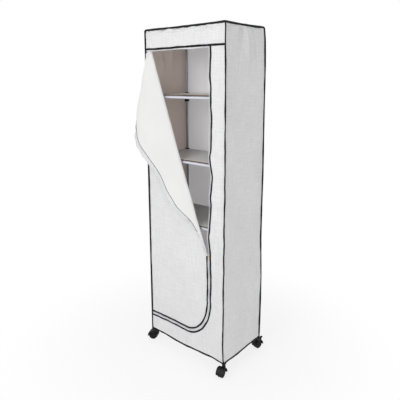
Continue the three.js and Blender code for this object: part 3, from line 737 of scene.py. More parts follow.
def build_strip():
    """The fixed cloth beside and under the door. Each row of the right part runs from the zip's
    line to the cover's edge, and the part under the door is a plain band."""
    c, p = cover()
    turn = p.zip_edge - c.corner_width
    line = zip_line(0, p.seam, p.door_left)
    edge = line[line[:, 0] >= turn - 1e-9][::-1]
    below = np.linspace(p.zip_low, 0, 20)[:0:-1, None] / p.zip_low  # from the hem to the zip
    left = np.append(np.full(len(below), turn), edge[:, 0])[:, None]
    s = np.linspace(0, 1, 46)[None]
    x = left + s * (p.x_half - left)
    low = hem_at(x[: len(below)], p.front)
    beside_zip = np.broadcast_to(edge[:, 1:], (len(edge), s.size))
    z = np.concatenate([low + below * (p.zip_low - low), beside_zip])
    y = p.front + front_soft(x, z) + (1 - s**6) * (1 - s) ** 2 * sway(z)
    right = grid(stacked(x, y, z), stacked(x, z))
    flat = c.strip + c.corner_width, p.seam - p.low
    area = c.strip * (p.seam - p.low) + c.corner_width * c.skirt
    area += c.corner_width * c.corner_height * QUARTER_GONE
    cloth("cloth_strip", right, flat, "hung", ["cloth_header"], ["cover_surround"], area)

    def place(x, b):
        low = hem_at(x, p.front)
        z = low + b * (p.zip_low - low)
        return stacked(x, p.front + front_soft(x, z), z)

    skirt = panel(np.linspace(-p.x_half, turn, 60), np.linspace(0, 1, 20), place, c.skirt)
    flat = p.x_half + turn, c.skirt
    cloth("cloth_skirt", skirt, flat, "hung", ["cloth_strip"], ["cover_surround"])


def door_right(z):
    """Where the door's cloth ends at a height: at the fold, at its zipped edge, or on the zip's
    rounded corner."""
    c, p = cover()
    on_fold = p.fold_top[0] + (p.fold_top[1] - z) * p.way[0] / -p.way[1]
    on_fold -= fold_bow((p.fold_top[1] - z) / (p.fold_top[1] - p.fold_low[1]))
    middle = p.zip_low + c.corner_height
    size = c.corner_width - c.zip_spacing, c.corner_height - c.zip_spacing
    drop = np.clip((middle - z) / size[1], 0, 1)
    on_corner = p.zip_edge - c.corner_width + size[0] * np.sqrt(1 - drop**2)
    return np.where(z > p.fold_low[1], on_fold, np.where(z < middle, on_corner, p.door_edge))


def build_door():
    """The zipped lower part of the door: each row runs from the cover's left edge to where the
    cloth ends at that height."""
    c, p = cover()
    middle, low = p.zip_low + c.corner_height, p.zip_low + c.zip_spacing
    corner = middle - (middle - low) * np.sin(np.linspace(math.pi / 2, 0, 60))
    runs = [corner, np.linspace(middle, p.fold_low[1], 60)[1:],
            np.linspace(p.fold_low[1], p.door_top, 220)[1:]]  # fmt: skip
    z = np.concatenate(runs)[:, None]
    x = -p.x_half + np.linspace(0, 1, 90) * (door_right(z) + p.x_half)
    pull = hill(x - z * 0.25, -0.02, 0.02) * hill(z, 0.62, 0.25) * 0.0012
    part = grid(stacked(x, p.door_face + front_soft(x, z) + pull, z), stacked(x, z))
    width, height = p.door_edge + p.side, p.door_top - low
    area = width * height
    area -= (p.fold_low[0] - p.fold_top[0]) * (p.fold_top[1] - p.fold_low[1]) / 2
    area -= (c.corner_width - c.zip_spacing) * (c.corner_height - c.zip_spacing) * QUARTER_GONE
    rests = ["cloth_strip", "cloth_skirt"]
    cloth("cloth_door", part, (width, height), "hung", rests, ["door_lower"], area)


# --- Folded corner -------------------------------------------------------------------------------


def curl():
    """The folded corner's own directions and the cone that it curls round. It is turned about the
    fold by the lift, and the cone's axis leans inwards by half its angle."""
    c, p = cover()
    lift, half = c.fold_lift, c.curl_angle
    along = np.array((p.way[0], 0, p.way[1]))
    over = np.array((p.across[0], 0, p.across[1])) * math.cos(lift)
    over = over + OUT * math.sin(lift)
    normal = unit(np.cross(over, along))
    right = along * p.way[0] + over * p.across[0]
    up = along * p.way[1] + over * p.across[1]
    axis = -up * math.cos(half) - normal * math.sin(half)
    edge = (-up - axis * math.cos(half)) / math.sin(half)
    point = np.array((0.019 - p.side, p.door_top - 0.002))  # the cone's, near the fold's upper end
    return SimpleNamespace(
        normal=normal, right=right, up=up, axis=axis, edge=edge, point=point, half=half
    )


def fold_bow(t):
    """How far the fold bends to the left of its straight line, from its upper to its lower end."""
    return 0.006 * np.sin(math.pi * np.clip(t, 0, 1) ** 0.7)


def from_slider(q):
    """How far flat places lie from the fold's lower end, back along the fold and away from it."""
    p = layout()
    return (p.fold_low - q) @ p.way, (q - p.fold_low) @ p.across


def gathered(q):
    """Flat places on the folded corner as the cloth lies: bent with the fold, and drawn in to the
    fold where it nears the slider."""
    p = layout()
    run, away = from_slider(q)
    bent = fold_bow(1 - run / np.linalg.norm(p.fold_low - p.fold_top)) * hill(away, 0, 0.12)
    drawn = away * step(run, *DRAWN_IN)
    return p.fold_low - run[..., None] * p.way + (drawn + bent)[..., None] * p.across


def folded(q):
    """Places and normals on the folded corner, from where (x, z) it would lie if it were flat.
    Right of an upright line through the cone's point it is flat. Left of it the distance from
    that point stays, and the angle from straight down, over the sine of the cone's half angle,
    becomes a turn round the cone."""
    p, k = layout(), curl()
    q = gathered(q)

    def flat(x, z):
        x, z = np.asarray(x)[..., None] - p.fold_top[0], np.asarray(z)[..., None] - p.fold_top[1]
        return np.array((p.fold_top[0], p.fold_face, p.fold_top[1])) + k.right * x + k.up * z

    x, z = q[..., 0] - k.point[0], q[..., 1] - k.point[1]
    away = np.arctan2(-x, -z)
    turn = (np.maximum(away, 0) / math.sin(k.half))[..., None]
    out = k.edge * np.cos(turn) - k.right * np.sin(turn)
    ray = k.axis * math.cos(k.half) + out * math.sin(k.half)
    on_cone = flat(*k.point) + ray * np.hypot(x, z)[..., None]
    curled = (away > 0)[..., None]
    points = np.where(curled, on_cone, flat(q[..., 0], q[..., 1]))
    normals = np.where(curled, out * math.cos(k.half) - k.axis * math.sin(k.half), k.normal)
    return points, normals


def flap_soft(q):
    """How far the folded corner's cloth stands off its cone: a billow over its lower part,
    unevenness that grows from the fold, and small gathers where it is drawn in."""
    run, away = from_slider(q)
    # The hills lie between the shelves, so that the corner closes in front of them.
    between = 0.021 * hill(run, 0.28, 0.085) + 0.012 * hill(run, 0.6, 0.075)
    billow = between * step(away, 0, 0.16)
    uneven = 0.0034 * ripples(q[..., 0], q[..., 1], 113, 0.4, 0.09) * step(away, 0.0, 0.15)
    gathers = 0.0012 * (1 - step(run, *DRAWN_IN)) * np.sin(away * 420) * step(away, 0, 0.01)
    return billow + uneven + gathers


def on_flap(q, lift=0.0):
    """Places and normals on the uneven cloth of the folded corner."""
    points, normals = folded(q)
    return points + normals * (flap_soft(q) + lift)[..., None], normals


def flap_edge(count=260, corner=0.012, ends=0.985):
    """The folded corner's two free edges as flat places, from the fold's upper end round the tip
    to its lower end, with the tip rounded, and the ways out of the cloth."""
    p = layout()
    to_tip, from_tip = unit(p.tip - p.fold_top), unit(p.fold_low - p.tip)
    start, stop = p.tip - to_tip * corner, p.tip + from_tip * corner
    middle = start + from_tip * corner
    a = np.linspace(0, math.pi / 2, 9)[1:-1, None]
    arc = middle - from_tip * corner * np.cos(a) + to_tip * corner * np.sin(a)
    first = p.fold_top + (start - p.fold_top) * np.linspace(0, 1, count // 3)[:, None]
    last = stop + (p.fold_low - stop) * np.linspace(0, ends, count)[:, None]
    line = np.concatenate([first, arc, last])
    way = np.gradient(line, axis=0)
    out = unit(stacked(-way[:, 1], way[:, 0]))
    return line, out if out[0] @ (p.tip - p.fold_low) > 0 else -out


def build_flap():
    """The folded corner: each row runs beside the fold, from the free top edge to the free zip
    edge, and the rows shrink to the tip."""
    p = layout()
    t = np.concatenate([np.linspace(0, 0.97, 80), np.linspace(0.97, 1, 6)[1:]])[:, None, None]
    s = np.linspace(0, 1, 220)[None, :, None]
    upper = p.fold_top + (p.tip - p.fold_top) * t
    q = upper + (p.fold_low + (p.tip - p.fold_low) * t - upper) * s
    points, normals = on_flap(q)
    part = grid(points, q)
    first = np.cross(points[0, 1] - points[0, 0], points[1, 0] - points[0, 0])
    if first @ normals[0, 0] > 0:  # the cloth's outside now faces the door
        part = turned_over(part)
    width, height = p.fold_low[0] - p.fold_top[0], p.fold_top[1] - p.fold_low[1]
    cloth("cloth_folded_corner", part, (width, height), "folded", ["cloth_door"], ["door_flap"],
          width * height / 2, body=FLAP, inwards=0)  # fmt: skip


def build_fold():
    """The soft roll along the fold: half an ellipse carried down the fold, from the door's cloth
    out round and back to the folded corner. It bends with the door."""
    c, p = cover()
    along = np.linspace(0, 0.985, 200)[:, None]
    line = p.fold_top + (p.fold_low - p.fold_top) * along + p.across * fold_bow(along)
    run = along * np.linalg.norm(p.fold_low - p.fold_top)
    a = np.linspace(-math.pi / 2, math.pi / 2, 14)
    door, flap = p.door_face, p.fold_face
    deep = (door - flap) / 2
    round_out = 0.0046 * np.cos(a) * (1 + 0.25 * ripples(run, 0 * run, 131, 0.3, 0.05))
    x, z = (line[:, i : i + 1] - p.across[i] * round_out for i in (0, 1))
    part = grid(stacked(x, (door + flap) / 2 - deep * np.sin(a), z), stacked(a * deep, run))
    made = piece("cloth_fold", [part], "cloth", ["door_flap"], None)
    thickened(made, c.thickness)
    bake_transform(made)


# --- Bindings and seams --------------------------------------------------------------------------


def build_bindings():
    """The black bindings: round the roof, down the four corners, round the hem, and under the
    header. Each follows its seam's own sag and strays a little."""
    p = layout()
    roof = roof_loop()
    round_off = np.abs(roof[:, :2]) > np.array((p.x_half, p.y_half)) - ROOF_CORNER
    radial = unit(np.pad(roof[:, :2] * round_off, ((0, 0), (0, 1))))
    up = (radial + UP) * math.sqrt(0.5)
    part = binding(roof + up * 0.0012, beside(roof, up), up, 201, 0.0105, 0.0082, closed=True)
    piece("binding_roof", [part], "binding")
    for name, x, y, *_ in CORNERS:
        z = np.linspace(p.low - 0.009, p.top - 0.003, 300)
        edge = stacked(x * p.x_half, y * p.y_half, z)
        edge[:, 2] += (hem_at(edge[:, 0], edge[:, 1]) - p.low) * step(-z, -p.low - 0.1, -p.low)
        diagonal, tangent = (np.array(v) * math.sqrt(0.5) for v in ((x, y, 0), (-y, x, 0)))
        edge += tangent * wander(z, 211 + x + 3 * y, 0.0013, 0.1, 0.5)[:, None]
        wide, high = (0.0066, 0.0056) if name == "front_right" else (0.0084, 0.0105)
        part = binding(edge + diagonal * 0.0014, tangent, diagonal, 221 + x + 3 * y, wide, high)
        piece(f"binding_{name}", [part], "binding")
    hems = []
    ends = [(-1, -1), (1, -1), (1, 1), (-1, 1)]
    for number, ((x0, y0), (x1, y1)) in enumerate(zip(ends, ends[1:] + ends[:1])):
        t = np.linspace(0, 1, 160)
        x, y = (x0 + (x1 - x0) * t) * p.x_half, (y0 + (y1 - y0) * t) * p.y_half
        way = np.array((x0 + x1, y0 + y1, 0)) / 2
        line = stacked(x, y, hem_at(x, y) + HEM_RISE)
        if number == 0:
            line[:, 1] += front_soft(x, line[:, 2])
        elif number == 2:
            line[:, 1] -= back_in(x, 0.0)
        else:
            line[:, 0] -= way[0] * side_in(y / p.y_half, 0.0, SIDES[number // 2][2])
        hems.append(binding(line, UP, way, 231 + 2 * number, 0.0115))
    piece("binding_hem", hems, "binding")
    x = np.linspace(-p.x_half, p.x_half, 260)
    kink = 0.0012 * np.sin((x + p.x_half) * 60) * hill(x, -p.x_half, 0.05)
    line = on_front(stacked(x, p.seam + wander(x, 241, 0.0008) + kink), 0.0006)
    piece("binding_header", [binding(line, UP, OUT, 243, 0.0095)], "binding")


def roof_loop():
    """The roof's edge: a rectangle with small round corners, sagging on each side."""
    p = layout()
    a = np.linspace(0, math.pi / 2, 7)
    corners = []
    for turn, (x, y) in enumerate(AROUND):
        angle = a + turn * math.pi / 2
        middle = np.array((x * (p.x_half - ROOF_CORNER), y * (p.y_half - ROOF_CORNER)))
        corners.append(middle + ROOF_CORNER * stacked(np.cos(angle), np.sin(angle)))
    line = []
    t = np.linspace(0, 1, 90)[1:-1, None]
    for corner, following in zip(corners, corners[1:] + corners[:1]):
        line += [corner, corner[-1] + (following[0] - corner[-1]) * t]
    x, y = np.concatenate(line).T
    return stacked(x, y, roof_edge(x, y))


def build_door_bindings():
    """The bindings on both sides of the zip, on the door's short top edge, and on the outer side
    of the folded corner."""
    c, p = cover()
    fixed = on_front(zip_line(0, p.seam - 0.0035, p.door_left), 0.0006, 1.0)
    piece("binding_strip", [binding(fixed, beside(fixed, OUT), OUT, 251)], "binding")
    line = zip_line(c.zip_spacing, p.fold_low[1] - 0.004, p.door_left, (40, 60, 60))
    moving = on_front(line, 0.0004)
    x = np.linspace(p.door_left, p.fold_top[0] - 0.004, 20)
    lid = on_front(stacked(x, p.door_top - 0.0035 + 0.004 * hill(x, x[-1], 0.012)), 0.0004)
    parts = [binding(moving, beside(moving, OUT), OUT, 261), binding(lid, UP, OUT, 263)]
    piece("binding_door", parts, "binding")
    line, ways = flap_edge(ends=0.87)
    points, normals = on_flap(line - ways * 0.002)
    across = beside(points, normals)
    part = binding(points - normals * 0.0014, across, normals, 271, height=0.0026)
    shown = slice(len(line) // 3, None)  # its turned edge, on the lining beside the zip tape
    points, normals = on_flap((line - ways * 0.0115)[shown])
    turned = binding(points + normals * 0.0009, across[shown], normals, 273, 0.0023, 0.0012)
    piece("binding_flap", [part, turned], "binding", body=FLAP)


def zip_half(path, across):
    """Half of the zip: a flat tape beside a path, and the teeth along its edge."""
    reach, inner = teeth_reach(), 0.001
    width = reach - TAPE_SHORT - inner
    middle = path + across * (inner + width / 2)
    return [sweep(middle, across, OUT, oval(width, 0.0006, 10, 0.4)),
            zip_teeth(path, across, OUT, reach)]  # fmt: skip


def teeth_reach():
    """How far the teeth stand from the binding, so that the two halves just meet."""
    return bpy.context.scene.wardrobe_cover.zip_spacing / 2 - 0.0009


def build_zip():
    """The zip's tapes with their teeth: the closed part below the slider, the free edge of the
    fixed cloth above it, the header's half, and the folded corner's half."""
    c, p = cover()
    path = on_front(zip_line(0, p.seam - 0.007, p.door_left, (500, 90, 90)), -0.0006, 1.0)
    piece("zip_tape_fixed", zip_half(path, -beside(path, OUT)), "zip")
    line = zip_line(c.zip_spacing, p.fold_low[1] - 0.006, p.door_left, (150, 90, 90))
    path = on_front(line, -0.0006)
    piece("zip_tape_door", zip_half(path, beside(path, OUT)), "zip")
    x = np.linspace(p.door_left, p.zip_edge - 0.005, 220)
    path = on_front(stacked(x, p.seam + wander(x, 281, 0.0008)), -0.0008)
    piece("zip_tape_header", zip_half(path, -UP), "zip")
    line, ways = flap_edge(420)
    inner, outer = line - ways * 0.007, line + ways * (teeth_reach() - TAPE_SHORT)
    s = np.linspace(0, 1, 7)[:, None, None]
    points, normals = on_flap(inner + (outer - inner) * s, 0.0009)
    wavy = 0.0022 * np.sin(np.arange(len(line)) * 0.23) * step(s[..., 0], 0.4, 1)
    tape = grid(points + normals * wavy[..., None])
    points, normals = on_flap(line + ways * teeth_reach(), 0.0009)
    teeth = zip_teeth(points + normals * wavy[-1][:, None], 0, normals, 0)
    made = piece("zip_tape_flap", [tape, teeth], "zip", body=FLAP)
    thickened(made, 0.0005, lining=0)


def build_stitches():
    """The white stitches that hold the bindings, a line beside each."""
    c, p = cover()
    away = c.binding / 2 + 0.0011
    parts = []
    x = np.linspace(-p.side + 0.006, p.side - 0.006, 120)
    for z, way in ((p.seam, 1), (hem_at(x, p.front) + HEM_RISE, 1), (roof_edge(x, p.front), -1)):
        parts.append(stitches(on_front(stacked(x, z), 0.0004), UP, OUT, way * away))
    z = np.linspace(p.low + 0.01, p.top - 0.01, 200)
    for side in (-1, 1):
        line = stacked(side * (p.side - 0.002), p.front - 0.0004, z)
        parts.append(stitches(line, RIGHT, OUT, -side * away))
        for end in (-1, 1):
            line = stacked(side * (p.side - 0.001), end * (p.back - 0.002), z)
            parts.append(stitches(line, BACK, side * RIGHT, -end * away))
    fixed = on_front(zip_line(0, p.seam - 0.006, p.door_left), 0.0006, 1.0)
    parts += [stitches(fixed, beside(fixed, OUT), OUT, offset) for offset in (0.0022, -0.0022)]
    piece("stitching", parts, "thread")
    line, ways = flap_edge()
    points, normals = on_flap(line - ways * 0.0035, 0.0016)
    piece("stitching_flap", [stitches(points, 0, normals, 0)], "thread", body=FLAP)


# --- Rack ----------------------------------------------------------------------------------------


def build_tubes():
    """The painted tubes: four posts, and at each level two side rails and two cross rails."""
    r, p = rack()
    inner = p.post_x - r.sleeve - 0.001
    for name, x, y, *_ in CORNERS:
        at = x * p.post_x, y * p.post_y
        tube = bar((*at, p.low - 0.003), (*at, p.top - 0.006), r.tube)
        piece(f"tube_post_{name}", [tube], "post", [f"post_{name}"])
    for i, z in enumerate(p.levels, 1):
        for side, name in ((-1, "left"), (1, "right")):
            x = side * p.post_x
            tube = bar((x, -p.post_y, z), (x, p.post_y, z), r.tube)
            piece(f"tube_{name}_{i}", [tube], "rail", [f"side_rail_{name}_{i}"])
        for end, name in ((-1, "front"), (1, "back")):
            y = end * p.post_y
            tube = bar((-inner, y, z), (inner, y, z), r.tube)
            piece(f"tube_{name}_{i}", [tube], "rail", [f"{name}_rail_{i}"])


def connector(x, y, z, is_top, low):
    """A moulded connector: a sleeve turned round the post down to `low`, with a lip at its mouth,
    and two sockets with collars."""
    r, p = rack()
    s, k, bore = r.sleeve, r.socket, r.tube + 0.0004
    high = 0.0095 if is_top else 0.016
    wall = [(s + 0.0002, low), (s + 0.001, low + 0.0008), (s + 0.001, low + 0.0035),
            (s, low + 0.005), (s, high - 0.0025)]  # fmt: skip
    if is_top:
        sleeve = [(0, low), *wall, (s - 0.0025, high), (0, high)]
    else:
        sleeve = [(bore, low), *wall, (s - 0.0008, high), (bore, high), (bore, low)]
    centre = np.array((x * p.post_x, y * p.post_y, z))
    parts = [moved(lathe(sleeve, 32), centre)]
    reach = np.array((0, r.reach - 0.005, r.reach - 0.0045, r.reach - 0.0004, r.reach))
    wide = np.array((k, k, k + 0.0012, k + 0.0012, k + 0.0006))
    rings = circle(1, 32)[None] * wide[:, None, None]
    flat_top = 0.0075  # where the board rests
    rings[..., 1] = np.minimum(rings[..., 1], flat_top)
    for way in (-x * RIGHT, -y * BACK):
        parts.append(sweep(centre + reach[:, None] * way, np.cross(way, UP), UP, rings))
    return parts


def build_connectors():
    """The black connectors at the corners of each level."""
    for i, z in enumerate(layout().levels, 1):
        for name, x, y, *_ in CORNERS:
            rail = f"side_rail_{'left' if x < 0 else 'right'}_{i}"
            low = -0.024 if i == 1 else -0.032  # the lowest sleeves end above the casters' feet
            parts = connector(x, y, z, i == len(layout().levels), low)
            piece(f"connector_{name}_{i}", parts, "moulded", [rail])


def board_outline():
    """A board's outline: a rectangle with a round notch at each corner, anticlockwise."""
    r, p = rack()
    notch, reach = r.sleeve + 0.001, r.tube - 0.001
    open_angle = math.acos(min(reach / notch, 1))
    line = []
    for turn, (x, y) in enumerate(AROUND):
        start = turn * math.pi / 2 - open_angle
        a = np.linspace(start, start + 2 * open_angle - 1.5 * math.pi, 20)
        line.append(stacked(x * p.post_x + notch * np.cos(a), y * p.post_y + notch * np.sin(a)))
    return np.concatenate(line)


def build_boards():
    """The shelf boards: a notched outline carried up through the thickness, with worn edges: the
    coated faces take one material and the raw edge another."""
    r, p = rack()
    worn, rise = 0.0004, 0.0078  # the edges' wear, and a board's underside over the rails' axis
    outline = board_outline()
    rings = outline + unit(outline) * np.array((-worn, 0, 0, -worn))[:, None, None]
    run = run_of(np.concatenate([outline, outline[:1]]))
    for i, z in enumerate(p.levels[:5], 1):
        heights = z + rise + np.array((0, worn, r.board - worn, r.board))[:, None]
        points = stacked(rings[..., 0], rings[..., 1], heights)
        part = grid(points, stacked(run, heights), around=True, caps=True)
        made = piece(f"board_{i}", [part], "board", [f"shelf_board_{i}"])
        kinds = np.zeros(len(made.data.polygons), np.int32)
        kinds[-2:] = 1
        made.data.polygons.foreach_set("material_index", kinds)


# --- Casters -------------------------------------------------------------------------------------


def wheel_profile(radius, width):
    """Half a wheel's section, from its inner face over the tread to its dished outer face."""
    return [(0, 0), (radius - 0.0025, 0), (radius - 0.0006, 0.0007), (radius, 0.0024),
            (radius, width - 0.0024), (radius - 0.0006, width - 0.0007), (radius - 0.0025, width),
            (radius - 0.0062, width), (radius - 0.0075, width - 0.0016), (0.0105, width - 0.0022),
            (0.0092, width - 0.0006), (0.0078, width), (0.0035, width), (0.0028, width - 0.0008),
            (0, width - 0.0008)]  # fmt: skip


def drum(radius, half, centre, sides=24):
    """A cylinder along the Y axis, reaching `half` to each side of its centre."""
    profile = [(0, -half), (radius, -half), (radius, half), (0, half)]
    return moved(laid(lathe(profile, sides)), centre)


def build_casters():
    """The casters: a moulded hood over two wheels, a stem, and a brake lever on the rear two. Each
    is shaped with its stem on the Z axis, trailing along +X, and is then turned and moved."""
    r, p = rack()
    foot = [
        (0, 0.052), (0.0085, 0.052), (0.0108, 0.0528), (0.012, 0.0545), (0.0122, 0.059),
        (0.0118, 0.0622), (0.0108, 0.0636), (0.0064, 0.0641), (0.0064, 0.07), (0, 0.07),
    ]  # fmt: skip
    for name, x, y, swivel, brake in CORNERS:
        at, spin = (x * p.post_x, y * p.post_y, 0), math.radians(swivel)

        def placed(parts, at=at, spin=spin):
            return [moved(part, at, spin) for part in parts]

        hood = placed(hood_parts(r.wheel, r.trail, brake))
        made = piece(f"hood_{name}", hood, "moulded", [f"caster_hood_{name}"], f"caster_{name}")
        melted(made, 0.0007, 4)
        for number, side in ((1, 1), (2, -1)):
            width, web = 0.016, 0.004  # of a wheel, and from the middle to its inner face
            tread = laid(lathe(wheel_profile(r.wheel + shift()[2], width), 56))
            tread["points"] = tread["points"] * (1, -side, 1) + (r.trail, side * web, r.wheel)
            wheel = f"wheel_{name}_{number}"
            piece(f"wheel_piece_{name}_{number}", placed([tread]), "wheel", [wheel], wheel, 30)
        if brake:
            node = f"brake_lever_{name}"
            lever = placed(lever_parts(r.wheel, r.trail))
            made = piece(f"lever_{name}", lever, "moulded", [node], node)
            melted(made, 0.00045, 2)
        piece(f"foot_{name}", [moved(lathe(foot, 40), at)], "moulded", [f"post_{name}"])


def hood_parts(radius, trail, brake):
    """A caster's hood: an arched wall carried round the axle, its web, the stem and its boss."""
    inner, outer, half = radius + 0.0012, radius + 0.0035, 0.02
    axle = np.array((trail, 0, radius))
    a = np.radians(np.linspace(-8, 192, 60))
    out = stacked(np.cos(a), 0, np.sin(a))
    rise = outer - inner
    arch = [(-half, -0.002), (-half, 0), (-half + 0.0015, 0.001), (-half + 0.006, rise),
            (half - 0.006, rise), (half - 0.0015, 0.001), (half, 0), (half, -0.002)]  # fmt: skip
    wall = sweep(axle + out * inner, BACK, out, arch)
    web = drum(radius + 0.002, 0.003, axle, 56)
    web["points"][:, 2] = np.maximum(web["points"][:, 2], 0.012)  # cut off level over the floor
    boss = [(0, 0.0317), (0.0095, 0.0317), (0.0092, 0.043), (0.0066, 0.0462), (0.0062, 0.0512),
            (0, 0.0512)]  # fmt: skip
    stem = [(0, 0.05), (0.004, 0.05), (0.004, 0.0805), (0, 0.0805)]
    parts = [wall, web, lathe(boss, 40), lathe(stem, 32), drum(0.0028, 0.0155, axle)]
    if brake:
        centre = axle + (outer + 0.0014) * upwards(LEVER_PLACE)
        parts += [drum(0.0042, 0.0011, centre + (0, side * 0.0088, 0)) for side in (-1, 1)]
    return parts


def upwards(degrees):
    """A unit vector this far up from the X axis."""
    return np.array((math.cos(math.radians(degrees)), 0, math.sin(math.radians(degrees))))


def lever_parts(radius, trail):
    """A brake lever: a knuckle across the hood and a pedal that points away, with three ridges."""
    pivot = np.array((trail, 0, radius)) + (radius + 0.0061) * upwards(LEVER_PLACE)
    way, up = upwards(LEVER_TILT), upwards(LEVER_TILT + 90)
    s = np.array((0, 0.004, 0.012, 0.0155, 0.017))
    wide = np.array((0.014, 0.014, 0.014, 0.0115, 0.007))
    path = pivot + up * 0.0012 + way * s[:, None]
    pedal = sweep(path, BACK, up, tapered(wide, 0.0028, 16, 0.35))
    parts = [drum(0.0026, 0.007, pivot), pedal]
    for reach in (0.0075, 0.0105, 0.0135):
        ridge = pivot + up * 0.0026 + way * reach
        parts.append(bar(ridge - BACK * 0.005, ridge + BACK * 0.005, 0.0007, 12))
    return parts


def build_slider():
    """The zip's slider and its pull, in brass: two rounded plates joined by a neck, an arch over
    them, and a long pull with an eye that hangs from the arch."""
    p = layout()
    centre = np.array((p.chain_x, p.door_face, p.fold_low[1]))
    along = np.array((-0.007, -0.0066, -0.0055, -0.002, 0.002, 0.005, 0.0065, 0.007))
    wide = np.array((0.0052, 0.0064, 0.0072, 0.0078, 0.0092, 0.0094, 0.0082, 0.0066))
    profile = tapered(wide, 0.0014, 20, 0.45)
    parts = [sweep(centre + stacked(0, y, along), RIGHT, BACK, profile) for y in (-0.0016, 0.0016)]
    neck = centre + UP * 0.0035
    parts.append(bar(neck - BACK * 0.002, neck + BACK * 0.002, 0.0013, 16))
    a = np.linspace(0, math.pi, 25)
    bow = centre + stacked(0, -0.0019 - 0.0048 * np.sin(a) ** 0.6, -0.0042 * np.cos(a))
    normal = unit(np.cross(np.gradient(bow, axis=0), RIGHT))
    parts.append(sweep(bow, RIGHT, normal, oval(0.0024, 0.0011, 12, 0.6)))
    piece("slider_piece", parts, "brass", ["zip_slider"], "zip_slider")
    hang = centre - BACK * 0.0044  # on the arch
    drop = np.array((-0.0056, -0.0064, -0.009, -0.016, -0.0205, -0.0222, -0.0231, -0.0234))
    broad = np.array((0.0040, 0.0044, 0.0048, 0.0058, 0.0060, 0.0050, 0.0030, 0.0010))
    blade = sweep(hang + stacked(0, 0, drop), RIGHT, BACK, tapered(broad, 0.0014, 20, 0.5))
    piece("pull_piece", [eye_ring(hang), blade], "brass", ["zip_pull"], "zip_pull")


def eye_ring(hang):
    """The pull's eye: a closed oval loop from the bar under the arch down to the blade."""
    a = np.linspace(0, 2 * math.pi, 41)[:-1]
    c, s = np.cos(a), np.sin(a)
    x = np.sign(c) * np.abs(c) ** 0.6 * 0.0022
    z = -0.0028 + np.sign(s) * np.abs(s) ** 0.7 * 0.0031
    loop = hang + stacked(x, 0, z)
    way = np.roll(loop, -1, axis=0) - np.roll(loop, 1, axis=0)
    out = unit(np.cross(way, BACK))
    return sweep(loop, out, BACK, oval(0.0012, 0.0013, 10, 0.8), closed=True)


# --- Shader node groups --------------------------------------------------------------------------


def join(tree, kind, inputs=None, out=0, **settings):
    """Adds a node, sets its settings, sets or joins its inputs, and gives one of its outputs."""
    made = tree.nodes.new(kind)
    for key, value in settings.items():
        setattr(made, key, value)
    for key, value in (inputs or {}).items():
        if isinstance(value, bpy.types.NodeSocket):
            tree.links.new(value, made.inputs[key])
        else:
            made.inputs[key].default_value = value
    return made.outputs[out] if made.outputs else None


def maths(tree, operation, a, b=0.0):
    """A Math node's result."""
    return join(tree, "ShaderNodeMath", {0: a, 1: b}, operation=operation)


def times(tree, a, b):
    """One value times another."""
    return maths(tree, "MULTIPLY", a, b)


def ranged(tree, value, low, high, to_low=0.0, to_high=1.0):
    """A value moved smoothly from one range to another, and kept in it."""
    inputs = {0: value, 1: low, 2: high, 3: to_low, 4: to_high}
    return join(tree, "ShaderNodeMapRange", inputs, interpolation_type="SMOOTHSTEP")


def spread(tree, value, to_low, to_high):
    """A noise's middle values moved smoothly to another range."""
    return ranged(tree, value, 0.3, 0.7, to_low, to_high)


def blended(tree, factor, a, b, kind="MIX"):
    """Two colours mixed by a factor."""
    inputs = {0: factor, 6: a, 7: b}
    return join(tree, "ShaderNodeMix", inputs, 2, data_type="RGBA", blend_type=kind)


def noise(tree, place, scale, detail=2.0, rough=0.5):
    """A Noise Texture's value."""
    inputs = {"Vector": place, "Scale": scale, "Detail": detail, "Roughness": rough}
    return join(tree, "ShaderNodeTexNoise", inputs)


def stretched(tree, place, sizes):
    """A place scaled by a number on each axis."""
    return join(tree, "ShaderNodeVectorMath", {0: place, 1: sizes}, operation="MULTIPLY")


def group(name, inputs, outputs):
    """A shader node group with named sockets. Gives its tree, its inputs inside, and its end."""
    tree = bpy.data.node_groups.new(name, "ShaderNodeTree")
    for label, value in inputs.items():
        kind = "Vector" if value is None else "Float"
        socket = tree.interface.new_socket(label, in_out="INPUT", socket_type="NodeSocket" + kind)
        if value is not None:
            socket.default_value = value
    for label in outputs:
        tree.interface.new_socket(label, in_out="OUTPUT", socket_type="NodeSocketFloat")
    return tree, tree.nodes.new("NodeGroupInput").outputs, tree.nodes.new("NodeGroupOutput").inputs


def axis(tree, vector, number):
    """One of a vector's three numbers."""
    return join(tree, "ShaderNodeSeparateXYZ", {0: vector}, number)


def use(m, name, out=0, **inputs):
    """Places a shader node group in a material, and gives one of its outputs. A group that asks
    for a place, or for the way that the surface faces, gets the object's own by default."""
    nodes = bpy.data.node_groups[name]
    asked = {s.name for s in nodes.interface.items_tree if s.in_out == "INPUT"}
    given = {"Place": m.place, "Facing": m.facing} | inputs
    given = {key: value for key, value in given.items() if key in asked}
    return join(m.tree, "ShaderNodeGroup", given, out, node_tree=nodes)


def weave_group():
    """Plain weave: each thread is half a sine wave across, and rises and dips along its length
    against its neighbours. The higher of the two threads shows, and the gaps are where both are
    low."""
    tree, given, end = group("Plain weave", {"Place": None, "Pitch": 0.001}, ("Height", "Gap"))
    turns = [maths(tree, "DIVIDE", axis(tree, given["Place"], i), given["Pitch"]) for i in (0, 1)]
    turns = [times(tree, turn, math.pi) for turn in turns]
    waves = [maths(tree, "SINE", turn) for turn in turns]
    dips = [maths(tree, "COSINE", turn) for turn in turns]
    threads = []
    for wave, dip, way in ((waves[0], dips[1], 0.42), (waves[1], dips[0], -0.42)):
        rise = times(tree, maths(tree, "SIGN", wave), dip)
        rise = maths(tree, "ADD", times(tree, rise, way), 0.58)
        threads.append(times(tree, maths(tree, "ABSOLUTE", wave), rise))
    high = maths(tree, "MAXIMUM", threads[0], threads[1])
    tree.links.new(high, end["Height"])
    tree.links.new(ranged(tree, high, 0.12, 0.45, 1, 0), end["Gap"])


